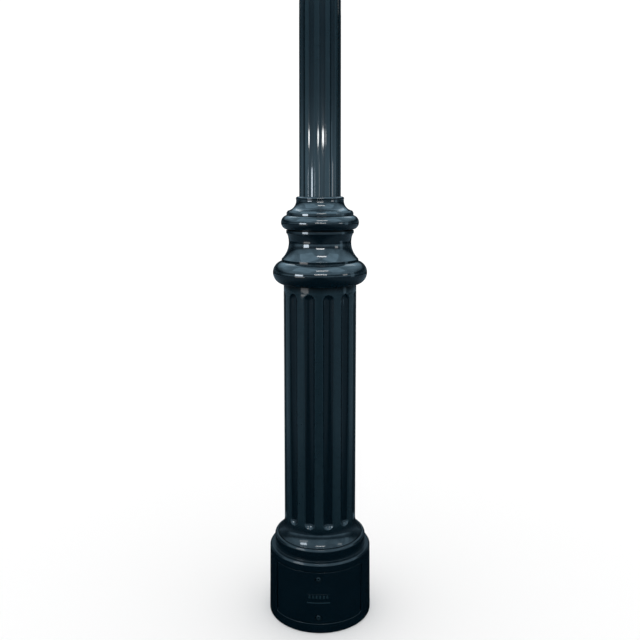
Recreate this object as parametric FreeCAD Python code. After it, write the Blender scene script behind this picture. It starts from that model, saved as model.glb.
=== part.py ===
"""Post of a street clock: a fluted pedestal with a collar, and the fluted shaft that carries the clock head.

The post stands on the origin with +Z up, and its access door faces -Y. Lengths are in millimetres.
The load runs from the head flange down the shaft to its foot flange, which is bolted to the top of the
pedestal column. The column is bolted to the base casting, and the base casting to four anchor bolts.
The two collar castings hide the bolted joint between the shaft and the column.
"""
import FreeCAD
import Part
import math
import os

# Overall sizes
POST_HEIGHT = 2438.4
BASE_DIAMETER = 406.4
DRUM_HEIGHT = 283.5  # ground to the ledge of the drum's shoulder
STEP_HEIGHT = 46.5  # the narrower ring that stands on that ledge
PEDESTAL_HEIGHT = 1012.0  # fluted column, from its seat in the base to its top face
COLUMN_FOOT_DIAMETER = 280.6
COLUMN_NECK_DIAMETER = 273.6
SHAFT_FOOT_DIAMETER = 157.0
SHAFT_TOP_DIAMETER = 148.2

# Base casting
BASE_WALL = 12.0
DRUM_DRAFT = 4.0  # radius that the drum loses between the ground and its shoulder
SHOULDER_LEDGE = 20.2
BASE_EDGE_RADIUS = 5.0
EDGE_BEVEL_WIDTH = 4.6
EDGE_BEVEL_HEIGHT = 8.5
SEAT_DEPTH = 12.0  # how deep the column's foot sits in the step ring
SEAT_GAP = 2.5
SEAT_RIM = 12.3  # wall of the step ring round that seat
TOP_FLANGE_THICKNESS = 20.0
ANCHOR_FLANGE_THICKNESS = 22.0
ANCHOR_CIRCLE = 300.0
ANCHOR_HOLE_RADIUS = 13.5
ANCHOR_COUNT = 4
ANCHOR_TURN = 45.0  # degrees from +X to the first anchor hole
WIRE_OPENING_RADIUS = 105.0  # in the floor and in the top flange of the base
GUSSET_THICKNESS = 10.0
GUSSET_REACH = 45.0
GUSSET_HEIGHT = 90.0

# Access door
DOOR_SWEEP = 107.0  # degrees of the drum that the door covers
DOOR_BOTTOM = 42.0
DOOR_HEADROOM = 26.0  # from the door's top edge up to the shoulder
DOOR_THICKNESS = 8.0
DOOR_GAP = 2.5
DOOR_CORNER_RADIUS = 9.0
DOOR_LIP = 12.0  # how far the frame behind the door reaches past the opening's edge, both ways
DOOR_FRAME_THICKNESS = 8.0
GASKET_SPACE = 2.0
GASKET_RELIEF = 0.3  # running gap between the door's gasket and its frame
GASKET_INSET = 1.0
GASKET_BOND = 0.15  # glue line between the door and its gasket
TOP_SCREW_INSET = 27.0  # screw axis to the door's top edge
BOTTOM_SCREW_INSET = 23.0
SCREW_BOSS_RADIUS = 13.0
SCREW_BOSS_THICKNESS = 4.0
COUNTERBORE_RADIUS = 12.5
COUNTERBORE_DEPTH = 5.0
LUG_WIDTH = 40.0
LUG_THICKNESS = 20.0
NAMEPLATE_WIDTH = 88.0
NAMEPLATE_HEIGHT = 22.0
NAMEPLATE_RISE = 1.2
NAMEPLATE_LIFT = 4.5  # its middle above the door's middle
RULE_HEIGHT = 5.0
RULE_DROP = 24.0

# Pedestal column
COLUMN_BORE_RADIUS = 114.0
FLARE_HEIGHT = 62.0
FLARE_LIP = 11.5  # upright edge under the flare, which fills the seat's depth
FLUTE_COUNT = 12
FLUTE_WIDTH = 45.5
FLUTE_DEPTH = 13.0
FLUTE_FOOT_MARGIN = 1.0  # from the flare's upper end to the lowest point of a flute
FLUTE_NECK_MARGIN = 31.0
COLUMN_TOP_FLANGE = 18.0
COLUMN_TOP_BORE_CLEARANCE = 6.0  # beyond the shaft's own radius

# Collar castings: radii are steps out from the shaft or from the column's neck
COLLAR_SHELL = 10.0
COLLAR_BOLT_ROOM = 3.0  # round the foot flange
CASTING_EDGE = 1.0  # flat that breaks a moulding's sharp edge
LIP_CROWN = 0.8  # how far a lip's face swells
NECK_FIT = 0.5
SHAFT_FIT = 0.9
COLLAR_OVERLAP = 7.0  # how far the lower collar hangs over the column's neck
LOWER_TORUS_RADIUS = 44.0
LOWER_TORUS_REACH = 40.2
SCOTIA_LIP_REACH = 7.2
SCOTIA_LIP_HEIGHT = 9.0
SCOTIA_HEIGHT = 94.0
SCOTIA_WAIST_SHARE = 0.63  # of the scotia's height, from its lip up to the narrowest place
WAIST_REACH = 38.3
SCOTIA_TOP_REACH = 44.8
SEAM_LIP_REACH = 47.6
SEAM_LIP_HEIGHT = 12.0
SEAM_GROOVE_HEIGHT = 4.5
SEAM_GROOVE_REACH = 41.4
SPIGOT_DEPTH = 10.0
SPIGOT_WALL = 5.0
SPIGOT_INSET = 8.0  # from the groove's face in to the spigot's socket
SPIGOT_FIT = 0.5
UPPER_TORUS_RADIUS = 27.0
UPPER_TORUS_REACH = 39.5
UPPER_TORUS_SINK = 3.0  # how far the full circle would reach below its foot, and above its head
UPPER_TORUS_START = -62.0  # degrees from level to where it leaves the groove
BELL_LIP_REACH = 45.9
BELL_LIP_HEIGHT = 9.0
BELL_FOOT_REACH = 41.0
BELL_FOOT_RISE = 6.5
BELL_HEIGHT = 47.0
BELL_NECK_REACH = 10.0
BEAD_RADIUS = 7.0
BEAD_SWELL = 1.0  # how far it stands out past the bell's neck
BEAD_HEIGHT = 14.0

# Shaft and its flanges
SHAFT_WALL = 8.0
SHAFT_FLUTE_SPAN = 18.7  # degrees
SHAFT_FLUTE_DEPTH = 4.2
SHAFT_TURN = -7.0  # degrees between the shaft's flutes and the column's
FOOT_FLANGE_THICKNESS = 16.0
FOOT_FLANGE_SEAT = 4.0  # metal left under the shaft's end
FOOT_FLANGE_MARGIN = 10.5
HEAD_FLANGE_MARGIN = 26.0
HEAD_FLANGE_THICKNESS = 16.0
HEAD_FLANGE_SOCKET = 8.0
HEAD_BOLT_OFFSET = 12.0  # hole circle's radius beyond the shaft's top radius
HEAD_HOLE_RADIUS = 7.0
HEAD_HOLE_COUNT = 4
HEAD_WIRE_RADIUS = 40.0
SOCKET_FIT = 0.4
WIRE_HOLE_INSET = 14.5  # from the shaft's bore in to the foot flange's wire hole
FLANGE_EDGE = 2.0
GROMMET_ROOM = 1.0
GROMMET_WALL = 7.0
GROMMET_FLANGE = 7.0
GROMMET_FLANGE_THICKNESS = 3.0
GROMMET_RELIEF = 0.4

# Fasteners: shank radius, head across flats or head radius, head height
FLANGE_BOLT_RADIUS = 6.0
FLANGE_BOLT_FLATS = 19.0
FLANGE_BOLT_HEAD = 7.5
FLANGE_BOLT_COUNT = 6
WASHER_RADIUS = 12.0
WASHER_THICKNESS = 2.5
THREAD_CLEARANCE = 0.15
BOLT_CLEARANCE = 0.75
PEDESTAL_BOLT_INSET = 21.0  # from the column's bore out to the bolt circle
PEDESTAL_BOLT_TURN = 30.0  # degrees, to stand between the shaft's bolts
PEDESTAL_BOLT_GRIP = 28.0
TAPPED_RUNOUT = 4.0
DOOR_SCREW_RADIUS = 5.0
DOOR_SCREW_CLEARANCE = 0.25
DOOR_SCREW_HEAD_RADIUS = 9.0
DOOR_SCREW_HEAD = 5.0
DOOR_SCREW_ROUND = 3.0
DOOR_SCREW_FLATS = 6.0
DOOR_SCREW_SOCKET_DEPTH = 3.2
RETAINER_GAP = 0.3
RETAINER_THICKNESS = 1.2
RETAINER_RADIUS = 9.0
SET_SCREW_RADIUS = 4.0
SET_SCREW_FLATS = 4.0
SET_SCREW_SUNK = 1.5
SET_SCREW_TIP_GAP = 0.05

# Terminal box on its bracket, behind the door
BOX_WIDTH = 130.0
BOX_HEIGHT = 130.0
BOX_DEPTH = 78.0
BOX_WALL = 3.0
BOX_BOTTOM = 80.0
BOX_BACK = 118.0  # distance of its back from the post's axis
BOX_CORNER_RADIUS = 6.0
LID_DEPTH = 12.0
LID_GASKET = 1.7
LID_RELIEF = 0.3
LID_TAB = (6.0, 4.0, 24.0)
HINGE_WEB = 8.0
PIN_PROUD = 2.0
BOX_SCREW_INSET = 12.0
HINGE_OFFSET = 5.0
HINGE_BARREL_RADIUS = 4.5
HINGE_PIN_RADIUS = 2.0
HINGE_PIN_CLEARANCE = 0.1
KNUCKLE_GAP = 0.5
BRACKET_THICKNESS = 3.0
BRACKET_WIDTH = 60.0
BRACKET_FOOT = 26.0
RAIL_LENGTH = 110.0
RAIL_WIDTH = 35.0
RAIL_WEB = 25.0
RAIL_DEPTH = 7.5
RAIL_SHEET = 1.2
BREAKER_WIDTH = 36.0
BREAKER_HEIGHT = 80.0
BREAKER_BODY = 42.0
BREAKER_NOSE = 16.0
BREAKER_NOSE_HEIGHT = 45.0
BREAKER_OFFSET = 23.0
WIRE_WELL_RADIUS = 2.6
WIRE_WELL_DEPTH = 7.0
WELL_INSET = 8.0
TOGGLE_RADIUS = 6.0
TOGGLE_REACH = 10.0
TOGGLE_TILT = 38.0  # degrees above level, in the ON position
TOGGLE_CLEARANCE = 0.4
TOGGLE_LEVER = 3.6  # thickness
TOGGLE_PROUD = 1.0  # how far its drum stands out of the nose
TERMINAL_COUNT = 4
TERMINAL_WIDTH = 8.0
TERMINAL_HEIGHT = 52.0
TERMINAL_DEPTH = 40.0
TERMINAL_OFFSET = -46.0
TERMINAL_GAP = 0.2
GLAND_THREAD_RADIUS = 10.0
GLAND_FLATS = 24.0
GLAND_BORE_RADIUS = 5.0
GLAND_LENGTH = 20.0
GLAND_CLEARANCE = 0.2
GLAND_SPREAD = 30.0  # from the middle of the box to each gland
LOCKNUT_THICKNESS = 5.0
THREAD_PROUD = 2.0
SMALL_SCREW_RADIUS = 2.5
SMALL_SCREW_HEAD_RADIUS = 4.75
SMALL_SCREW_HEAD = 3.0
SMALL_SCREW_CLEARANCE = 0.1
SMALL_SCREW_BITE = 12.0  # how deep it goes into the casting
CROSS_WIDTH = 1.2
CROSS_DEPTH = 1.5
LUG_BLOCK = (30.0, 16.0, 14.0)
LUG_PLACE = (-112.0, -78.0)
LUG_WIRE_RADIUS = 4.5
LUG_TREAD_SHARE = 0.4  # of the lug's height

# Drafting allowances
ROOT = 1.0  # how far a rib or boss runs into the metal that it grows from
CUT = 1.0  # how far a cutter stands past the face that it opens

# Places and radii that follow from the sizes above
BASE_RADIUS = BASE_DIAMETER / 2
SHOULDER_Z = DRUM_HEIGHT - EDGE_BEVEL_HEIGHT
CUTTER_REACH = BASE_RADIUS + 20.0  # well outside the drum
STEP_RADIUS = BASE_RADIUS - DRUM_DRAFT - SHOULDER_LEDGE
STEP_TOP = DRUM_HEIGHT + STEP_HEIGHT
SEAT_Z = STEP_TOP - SEAT_DEPTH
SEAT_RADIUS = STEP_RADIUS - SEAT_RIM
COLUMN_TOP = SEAT_Z + PEDESTAL_HEIGHT
FLARE_RADIUS = SEAT_RADIUS - SEAT_GAP
FLARE_TOP_Z = SEAT_Z + FLARE_LIP + FLARE_HEIGHT
COLUMN_FOOT_RADIUS = COLUMN_FOOT_DIAMETER / 2
NECK_RADIUS = COLUMN_NECK_DIAMETER / 2
FOOT_FLANGE_TOP = COLUMN_TOP + FOOT_FLANGE_THICKNESS
SHAFT_BOTTOM = COLUMN_TOP + FOOT_FLANGE_SEAT
SHAFT_TOP = POST_HEIGHT - HEAD_FLANGE_THICKNESS + HEAD_FLANGE_SOCKET
FLANGE_BOLT_RADIUS_AT = (SHAFT_FOOT_DIAMETER / 2 + NECK_RADIUS) / 2
PEDESTAL_BOLT_RADIUS_AT = COLUMN_BORE_RADIUS + PEDESTAL_BOLT_INSET
SPIGOT_SOCKET_REACH = SEAM_GROOVE_REACH - SPIGOT_INSET
FOOT_FLANGE_RADIUS = NECK_RADIUS - FOOT_FLANGE_MARGIN
FLUTE_ANGLES = [360.0 / FLUTE_COUNT * (i + 0.5) for i in range(FLUTE_COUNT)]
DOOR_WIDTH = 2 * (BASE_RADIUS - DRUM_DRAFT / 2) * math.sin(math.radians(DOOR_SWEEP / 2))
DOOR_HEIGHT = SHOULDER_Z - DOOR_HEADROOM - DOOR_BOTTOM
OPENING_WIDTH = DOOR_WIDTH + 2 * DOOR_GAP
OPENING_HEIGHT = DOOR_HEIGHT + 2 * DOOR_GAP
DOOR_MIDDLE = DOOR_BOTTOM + DOOR_HEIGHT / 2
DOOR_SCREW_HEIGHTS = {
    "top": DOOR_BOTTOM + DOOR_HEIGHT - TOP_SCREW_INSET,
    "bottom": DOOR_BOTTOM + BOTTOM_SCREW_INSET,
}
BOX_FRONT = BOX_BACK - BOX_DEPTH
BOX_MIDDLE = BOX_BOTTOM + BOX_HEIGHT / 2
RAIL_FACE = BOX_BACK - BOX_WALL - RAIL_DEPTH

X = FreeCAD.Vector(1, 0, 0)
Y = FreeCAD.Vector(0, 1, 0)
Z = FreeCAD.Vector(0, 0, 1)
ORIGIN = FreeCAD.Vector(0, 0, 0)


def at(radius, z):
    """A point of a turned profile."""
    return FreeCAD.Vector(radius, 0, z)


def turned(outline):
    """The solid that a closed profile sweeps round the post's axis.

    Each entry is the next corner (radius, z), or for an arc a pair of them: a point on its way, and its end.
    """
    edges = []
    here = at(*outline[0])
    for entry in outline[1:] + outline[:1]:
        if isinstance(entry[0], tuple):
            end = at(*entry[1])
            edges.append(Part.Arc(here, at(*entry[0]), end).toShape())
        else:
            end = at(*entry)
            edges.append(Part.makeLine(here, end))
        here = end
    return Part.Face(Part.Wire(edges)).revolve(ORIGIN, Z, 360)


def arc_point(centre, radius, degrees):
    """A point on a circle in the profile plane, with its angle counted from level outwards."""
    angle = math.radians(degrees)
    return (centre[0] + radius * math.cos(angle), centre[1] + radius * math.sin(angle))


def hollow_arc(start, end, bulge):
    """The middle point of an arc between two profile points, off their chord by bulge to its left."""
    dx = end[0] - start[0]
    dz = end[1] - start[1]
    length = math.hypot(dx, dz)
    middle = ((start[0] + end[0]) / 2, (start[1] + end[1]) / 2)
    return (middle[0] - dz / length * bulge, middle[1] + dx / length * bulge)


def tube(outer, inner, low, high):
    """A plain ring round the post's axis."""
    return turned([(inner, low), (outer, low), (outer, high), (inner, high)])


def rod(radius, start, end):
    """A cylinder between two points."""
    axis = end - start
    return Part.makeCylinder(radius, axis.Length, start, axis)


def block(low, high):
    """A box between two corners."""
    size = high - low
    return Part.makeBox(size.x, size.y, size.z, low)


def hexagon(flats, start, end):
    """A hexagonal bar between two points."""
    axis = end - start
    radius = flats / math.sqrt(3)
    side = Z if abs(axis.y) > abs(axis.z) else Y
    across = axis.cross(side).normalize()
    other = axis.cross(across).normalize()
    corners = []
    for i in range(6):
        angle = math.radians(60 * i)
        corners.append(start + across * (radius * math.cos(angle)) + other * (radius * math.sin(angle)))
    return Part.Face(Part.makePolygon(corners + corners[:1])).extrude(axis)


def rounded_prism(width, low, high, corner, y_front, y_back):
    """A bar along Y whose section is a rectangle with round corners, centred on x = 0."""
    half = width / 2
    c = corner
    k = c * (1 - math.sqrt(0.5))
    corners = [
        ((half - c, low), (half - k, low + k), (half, low + c)),
        ((half, high - c), (half - k, high - k), (half - c, high)),
        ((-half + c, high), (-half + k, high - k), (-half, high - c)),
        ((-half, low + c), (-half + k, low + k), (-half + c, low)),
    ]
    edges = []
    previous = FreeCAD.Vector(corners[-1][2][0], y_front, corners[-1][2][1])
    for first, middle, last in corners:
        a, b, d = (FreeCAD.Vector(p[0], y_front, p[1]) for p in (first, middle, last))
        edges.append(Part.makeLine(previous, a))
        edges.append(Part.Arc(a, b, d).toShape())
        previous = d
    return Part.Face(Part.Wire(edges)).extrude(Y * (y_back - y_front))


def around(shape, angles):
    """Copies of a shape turned about the post's axis."""
    copies = []
    for angle in angles:
        copy = shape.copy()
        copy.rotate(ORIGIN, Z, angle)
        copies.append(copy)
    return copies


def evenly(count, first=0.0):
    """Angles of an even ring."""
    return [first + 360.0 / count * i for i in range(count)]


def drum_radius(z):
    """Outer radius of the tapering drum."""
    return BASE_RADIUS - DRUM_DRAFT * z / SHOULDER_Z


def drum_shell(depth_out, depth_in, low, high):
    """A shell that follows the drum's wall, between two depths below its outer face."""
    return turned([
        (drum_radius(low) - depth_in, low),
        (drum_radius(low) - depth_out, low),
        (drum_radius(high) - depth_out, high),
        (drum_radius(high) - depth_in, high),
    ])


def column_radius(z):
    """Outer radius of the tapering column, over its flutes."""
    share = (z - FLARE_TOP_Z) / (COLUMN_TOP - FLARE_TOP_Z)
    return COLUMN_FOOT_RADIUS + (NECK_RADIUS - COLUMN_FOOT_RADIUS) * share


def shaft_radius(z):
    """Outer radius of the tapering shaft, over its flutes."""
    share = (z - SHAFT_BOTTOM) / (SHAFT_TOP - SHAFT_BOTTOM)
    return (SHAFT_FOOT_DIAMETER + (SHAFT_TOP_DIAMETER - SHAFT_FOOT_DIAMETER) * share) / 2


def opening_prism(grow, y_back=0.0):
    """The door opening's outline as a bar through the front wall, grown or shrunk all round."""
    low = DOOR_BOTTOM - DOOR_GAP - grow
    high = low + OPENING_HEIGHT + 2 * grow
    corner = DOOR_CORNER_RADIUS + DOOR_GAP
    return rounded_prism(OPENING_WIDTH + 2 * grow, low, high, corner, -CUTTER_REACH, y_back)


# Base


def base_casting():
    """The drum with its floor and top flange, the step ring, and the frame and lugs behind the door."""
    bevel_foot = (drum_radius(SHOULDER_Z), SHOULDER_Z)
    bevel_head = (bevel_foot[0] - EDGE_BEVEL_WIDTH, DRUM_HEIGHT)
    ring_foot = (STEP_RADIUS, STEP_TOP - EDGE_BEVEL_HEIGHT)
    ring_head = (STEP_RADIUS - EDGE_BEVEL_WIDTH, STEP_TOP)
    inside_foot = drum_radius(0) - BASE_WALL
    inside_head = drum_radius(SHOULDER_Z) - BASE_WALL
    ceiling = DRUM_HEIGHT - BASE_WALL
    flange_foot = SEAT_Z - TOP_FLANGE_THICKNESS
    edge = BASE_EDGE_RADIUS
    casting = turned([
        (WIRE_OPENING_RADIUS, 0),
        (BASE_RADIUS - edge, 0),
        (arc_point((BASE_RADIUS - edge, edge), edge, -45), (BASE_RADIUS, edge)),
        bevel_foot,
        (hollow_arc(bevel_foot, bevel_head, -LIP_CROWN), bevel_head),
        (STEP_RADIUS, DRUM_HEIGHT),
        ring_foot,
        (hollow_arc(ring_foot, ring_head, -LIP_CROWN), ring_head),
        (SEAT_RADIUS, STEP_TOP),
        (SEAT_RADIUS, SEAT_Z),
        (WIRE_OPENING_RADIUS, SEAT_Z),
        (WIRE_OPENING_RADIUS, flange_foot),
        (SEAT_RADIUS, flange_foot),
        (SEAT_RADIUS, ceiling),
        (inside_head, ceiling),
        (inside_foot, ANCHOR_FLANGE_THICKNESS),
        (WIRE_OPENING_RADIUS, ANCHOR_FLANGE_THICKNESS),
    ])
    gusset_low = ANCHOR_FLANGE_THICKNESS - ROOT
    gusset_out = inside_foot + BASE_WALL / 2
    gusset_side = -GUSSET_THICKNESS / 2
    gusset_toe = ANCHOR_FLANGE_THICKNESS + GUSSET_THICKNESS / 2
    gusset_corners = [
        FreeCAD.Vector(gusset_out, gusset_side, gusset_low),
        FreeCAD.Vector(inside_foot - GUSSET_REACH, gusset_side, gusset_low),
        FreeCAD.Vector(inside_foot - GUSSET_REACH, gusset_side, gusset_toe),
        FreeCAD.Vector(gusset_out, gusset_side, ANCHOR_FLANGE_THICKNESS + GUSSET_HEIGHT),
    ]
    gusset = Part.Face(Part.makePolygon(gusset_corners + gusset_corners[:1])).extrude(Y * GUSSET_THICKNESS)
    frame_front = DOOR_THICKNESS + GASKET_SPACE
    frame = drum_shell(frame_front, frame_front + DOOR_FRAME_THICKNESS, ANCHOR_FLANGE_THICKNESS, ceiling)
    frame = frame.common(opening_prism(DOOR_LIP))
    casting = casting.fuse([frame] + around(gusset, (0, 90, 180)))
    casting = casting.cut(opening_prism(-DOOR_LIP))
    rebate_high = DOOR_BOTTOM + DOOR_HEIGHT + 2 * DOOR_GAP
    rebate = drum_shell(-CUT, frame_front, DOOR_BOTTOM - 2 * DOOR_GAP, rebate_high)
    casting = casting.cut(rebate.common(opening_prism(0)))
    casting = casting.fuse([door_lug(place) for place in DOOR_SCREW_HEIGHTS])
    anchor_hole = rod(
        ANCHOR_HOLE_RADIUS,
        FreeCAD.Vector(ANCHOR_CIRCLE / 2, 0, -CUT),
        FreeCAD.Vector(ANCHOR_CIRCLE / 2, 0, ANCHOR_FLANGE_THICKNESS + CUT),
    )
    bolt_hole = rod(
        FLANGE_BOLT_RADIUS + BOLT_CLEARANCE,
        FreeCAD.Vector(PEDESTAL_BOLT_RADIUS_AT, 0, flange_foot - CUT),
        FreeCAD.Vector(PEDESTAL_BOLT_RADIUS_AT, 0, SEAT_Z + CUT),
    )
    holes = around(anchor_hole, evenly(ANCHOR_COUNT, ANCHOR_TURN))
    holes += around(bolt_hole, evenly(FLANGE_BOLT_COUNT, PEDESTAL_BOLT_TURN))
    for place in DOOR_SCREW_HEIGHTS:
        line = screw_line(place, DOOR_THICKNESS, BASE_RADIUS / 2)
        holes.append(rod(DOOR_SCREW_RADIUS + DOOR_SCREW_CLEARANCE, *line))
    for point in bracket_screw_points() + [lug_screw_point()]:
        holes.append(screw_hole(point, Z * -(SMALL_SCREW_BITE + 2 * CUT)))
    return casting.cut(holes)


def door_lug(place):
    """A tapped lug behind the door's boss, tied to the frame at the opening's top or bottom edge."""
    z = DOOR_SCREW_HEIGHTS[place]
    half = LUG_WIDTH / 2
    front = DOOR_THICKNESS + SCREW_BOSS_THICKNESS + GASKET_SPACE
    frame_middle = DOOR_THICKNESS + GASKET_SPACE + DOOR_FRAME_THICKNESS / 2
    if place == "top":
        edge = DOOR_BOTTOM + DOOR_HEIGHT
        low, high = z - half, edge
        tie_low, tie_high = edge - DOOR_LIP + ROOT, edge
    else:
        edge = DOOR_BOTTOM
        low, high = edge, z + half
        tie_low, tie_high = edge, edge + DOOR_LIP - DOOR_GAP - ROOT
    body = drum_shell(front, front + LUG_THICKNESS, low, high)
    tie = drum_shell(frame_middle, front + LUG_THICKNESS, tie_low, tie_high)
    sides = block(FreeCAD.Vector(-half, -BASE_RADIUS, low), FreeCAD.Vector(half, 0, high))
    return body.fuse(tie).common(sides)


def screw_line(place, depth_from, depth_to):
    """Two points on a door screw's axis, at depths below the drum's outer face."""
    z = DOOR_SCREW_HEIGHTS[place]
    y = -drum_radius(z)
    return FreeCAD.Vector(0, y + depth_from, z), FreeCAD.Vector(0, y + depth_to, z)


def access_door():
    """The curved cover: its outer face follows the drum, and two bosses at its back carry the screws."""
    low = DOOR_BOTTOM
    high = DOOR_BOTTOM + DOOR_HEIGHT
    outline = opening_prism(-DOOR_GAP)
    door = drum_shell(0, DOOR_THICKNESS, low - CUT, high + CUT).common(outline)
    boss_depth = DOOR_THICKNESS + SCREW_BOSS_THICKNESS
    bosses = []
    cuts = []
    for place in DOOR_SCREW_HEIGHTS:
        z = DOOR_SCREW_HEIGHTS[place]
        boss = rod(SCREW_BOSS_RADIUS, *screw_line(place, 0, 2 * boss_depth))
        reach = 2 * SCREW_BOSS_RADIUS
        bosses.append(boss.common(drum_shell(DOOR_THICKNESS - ROOT, boss_depth, z - reach, z + reach)))
        cuts.append(rod(COUNTERBORE_RADIUS, *screw_line(place, -COUNTERBORE_DEPTH, COUNTERBORE_DEPTH)))
        cuts.append(rod(DOOR_SCREW_RADIUS + DOOR_SCREW_CLEARANCE, *screw_line(place, 0, 2 * boss_depth)))
    return door.fuse(bosses + nameplate()).cut(cuts)


def nameplate():
    """A blank raised pad and a thin rule under it, cast on the door."""
    pieces = []
    pad_middle = DOOR_MIDDLE + NAMEPLATE_LIFT
    for middle, height in ((pad_middle, NAMEPLATE_HEIGHT), (pad_middle - RULE_DROP, RULE_HEIGHT)):
        low = middle - height / 2
        high = middle + height / 2
        pad = rounded_prism(NAMEPLATE_WIDTH, low, high, height / 4, -CUTTER_REACH, 0)
        pieces.append(pad.common(drum_shell(-NAMEPLATE_RISE, ROOT, low - CUT, high + CUT)))
    return pieces


def door_gasket():
    """A flat strip on the door's back, all round its edge."""
    front = DOOR_THICKNESS + GASKET_BOND
    strip = drum_shell(front, DOOR_THICKNESS + GASKET_SPACE - GASKET_RELIEF, DOOR_BOTTOM, SHOULDER_Z)
    return strip.common(opening_prism(-DOOR_GAP - GASKET_INSET)).cut(opening_prism(-DOOR_LIP))


def door_screw(place):
    """A captive socket screw with a domed head, let into the door."""
    seat, tip = screw_line(place, COUNTERBORE_DEPTH, COUNTERBORE_DEPTH + DOOR_THICKNESS + LUG_THICKNESS)
    crown = seat - Y * DOOR_SCREW_HEAD
    head = rod(DOOR_SCREW_HEAD_RADIUS, seat, crown)
    rim = [edge for edge in head.Edges if edge.Closed and abs(edge.CenterOfMass.y - crown.y) < 0.01]
    head = head.makeFillet(DOOR_SCREW_ROUND, rim)
    socket = hexagon(DOOR_SCREW_FLATS, crown - Y * CUT, crown + Y * DOOR_SCREW_SOCKET_DEPTH)
    return head.fuse(rod(DOOR_SCREW_RADIUS, seat - Y * ROOT, tip)).cut(socket).removeSplitter()


def screw_retainer(place):
    """The ring that keeps a door screw in the door, on its shank behind the boss."""
    front = DOOR_THICKNESS + SCREW_BOSS_THICKNESS + RETAINER_GAP
    line = screw_line(place, front, front + RETAINER_THICKNESS)
    return rod(RETAINER_RADIUS, *line).cut(rod(DOOR_SCREW_RADIUS, *line))


# Pedestal column and its bolts


def pedestal_column():
    """The fluted column: a bore, a flared foot that sits in the base, and a top flange for the shaft."""
    lip_top = SEAT_Z + FLARE_LIP
    foot = (FLARE_RADIUS, lip_top)
    waist = (COLUMN_FOOT_RADIUS, FLARE_TOP_Z)
    top_bore = SHAFT_FOOT_DIAMETER / 2 + COLUMN_TOP_BORE_CLEARANCE
    reach = FLARE_RADIUS - COLUMN_FOOT_RADIUS
    sag = (reach * reach + FLARE_HEIGHT * FLARE_HEIGHT) / (2 * reach)
    half_turn = math.atan2(FLARE_HEIGHT, sag - reach) / 2
    middle = (
        COLUMN_FOOT_RADIUS + sag - sag * math.cos(half_turn),
        FLARE_TOP_Z - sag * math.sin(half_turn),
    )
    column = turned([
        (COLUMN_BORE_RADIUS, SEAT_Z),
        (FLARE_RADIUS, SEAT_Z),
        foot,
        (middle, waist),
        (NECK_RADIUS, COLUMN_TOP),
        (top_bore, COLUMN_TOP),
        (top_bore, COLUMN_TOP - COLUMN_TOP_FLANGE),
        (COLUMN_BORE_RADIUS, COLUMN_TOP - COLUMN_TOP_FLANGE),
    ])
    tapped = rod(
        FLANGE_BOLT_RADIUS + THREAD_CLEARANCE,
        FreeCAD.Vector(PEDESTAL_BOLT_RADIUS_AT, 0, SEAT_Z - CUT),
        FreeCAD.Vector(PEDESTAL_BOLT_RADIUS_AT, 0, SEAT_Z + PEDESTAL_BOLT_GRIP + TAPPED_RUNOUT),
    )
    flange_tapped = rod(
        FLANGE_BOLT_RADIUS + THREAD_CLEARANCE,
        FreeCAD.Vector(FLANGE_BOLT_RADIUS_AT, 0, COLUMN_TOP - COLUMN_TOP_FLANGE - CUT),
        FreeCAD.Vector(FLANGE_BOLT_RADIUS_AT, 0, COLUMN_TOP + CUT),
    )
    cuts = around(column_flute(), FLUTE_ANGLES)
    cuts += around(tapped, evenly(FLANGE_BOLT_COUNT, PEDESTAL_BOLT_TURN))
    cuts += around(flange_tapped, evenly(FLANGE_BOLT_COUNT))
    return column.cut(cuts)


def column_flute():
    """The round-ended scoop that cuts one flute, along the column's taper."""
    half = FLUTE_WIDTH / 2
    radius = (half * half + FLUTE_DEPTH * FLUTE_DEPTH) / (2 * FLUTE_DEPTH)
    low = FLARE_TOP_Z + FLUTE_FOOT_MARGIN + half
    high = COLUMN_TOP - FLUTE_NECK_MARGIN - half
    foot = at(column_radius(low) - FLUTE_DEPTH + radius, low)
    head = at(column_radius(high) - FLUTE_DEPTH + radius, high)
    ends = [Part.makeSphere(radius, foot), Part.makeSphere(radius, head)]
    return rod(radius, foot, head).fuse(ends)


def hex_bolt(radius_at, seat_z, grip, upward):
    """A bolt along Z with its head's bearing face at seat_z."""
    way = 1 if upward else -1
    seat = FreeCAD.Vector(radius_at, 0, seat_z)
    head = hexagon(FLANGE_BOLT_FLATS, seat, seat - Z * (way * FLANGE_BOLT_HEAD))
    return head.fuse(rod(FLANGE_BOLT_RADIUS, seat - Z * way, seat + Z * (way * grip)))


def washer(radius_at, z):
    """A flat washer whose lower face is at z."""
    low = FreeCAD.Vector(radius_at, 0, z)
    high = low + Z * WASHER_THICKNESS
    return rod(WASHER_RADIUS, low, high).cut(rod(FLANGE_BOLT_RADIUS + BOLT_CLEARANCE / 2, low, high))


def pedestal_bolts():
    """Bolts that rise through the base's top flange into the column."""
    seat = SEAT_Z - TOP_FLANGE_THICKNESS - WASHER_THICKNESS
    grip = TOP_FLANGE_THICKNESS + WASHER_THICKNESS + PEDESTAL_BOLT_GRIP
    bolt = hex_bolt(PEDESTAL_BOLT_RADIUS_AT, seat, grip, True)
    return around(bolt, evenly(FLANGE_BOLT_COUNT, PEDESTAL_BOLT_TURN))


def pedestal_washers():
    """Their washers, under the base's top flange."""
    z = SEAT_Z - TOP_FLANGE_THICKNESS - WASHER_THICKNESS
    return around(washer(PEDESTAL_BOLT_RADIUS_AT, z), evenly(FLANGE_BOLT_COUNT, PEDESTAL_BOLT_TURN))


# Collar castings


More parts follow.
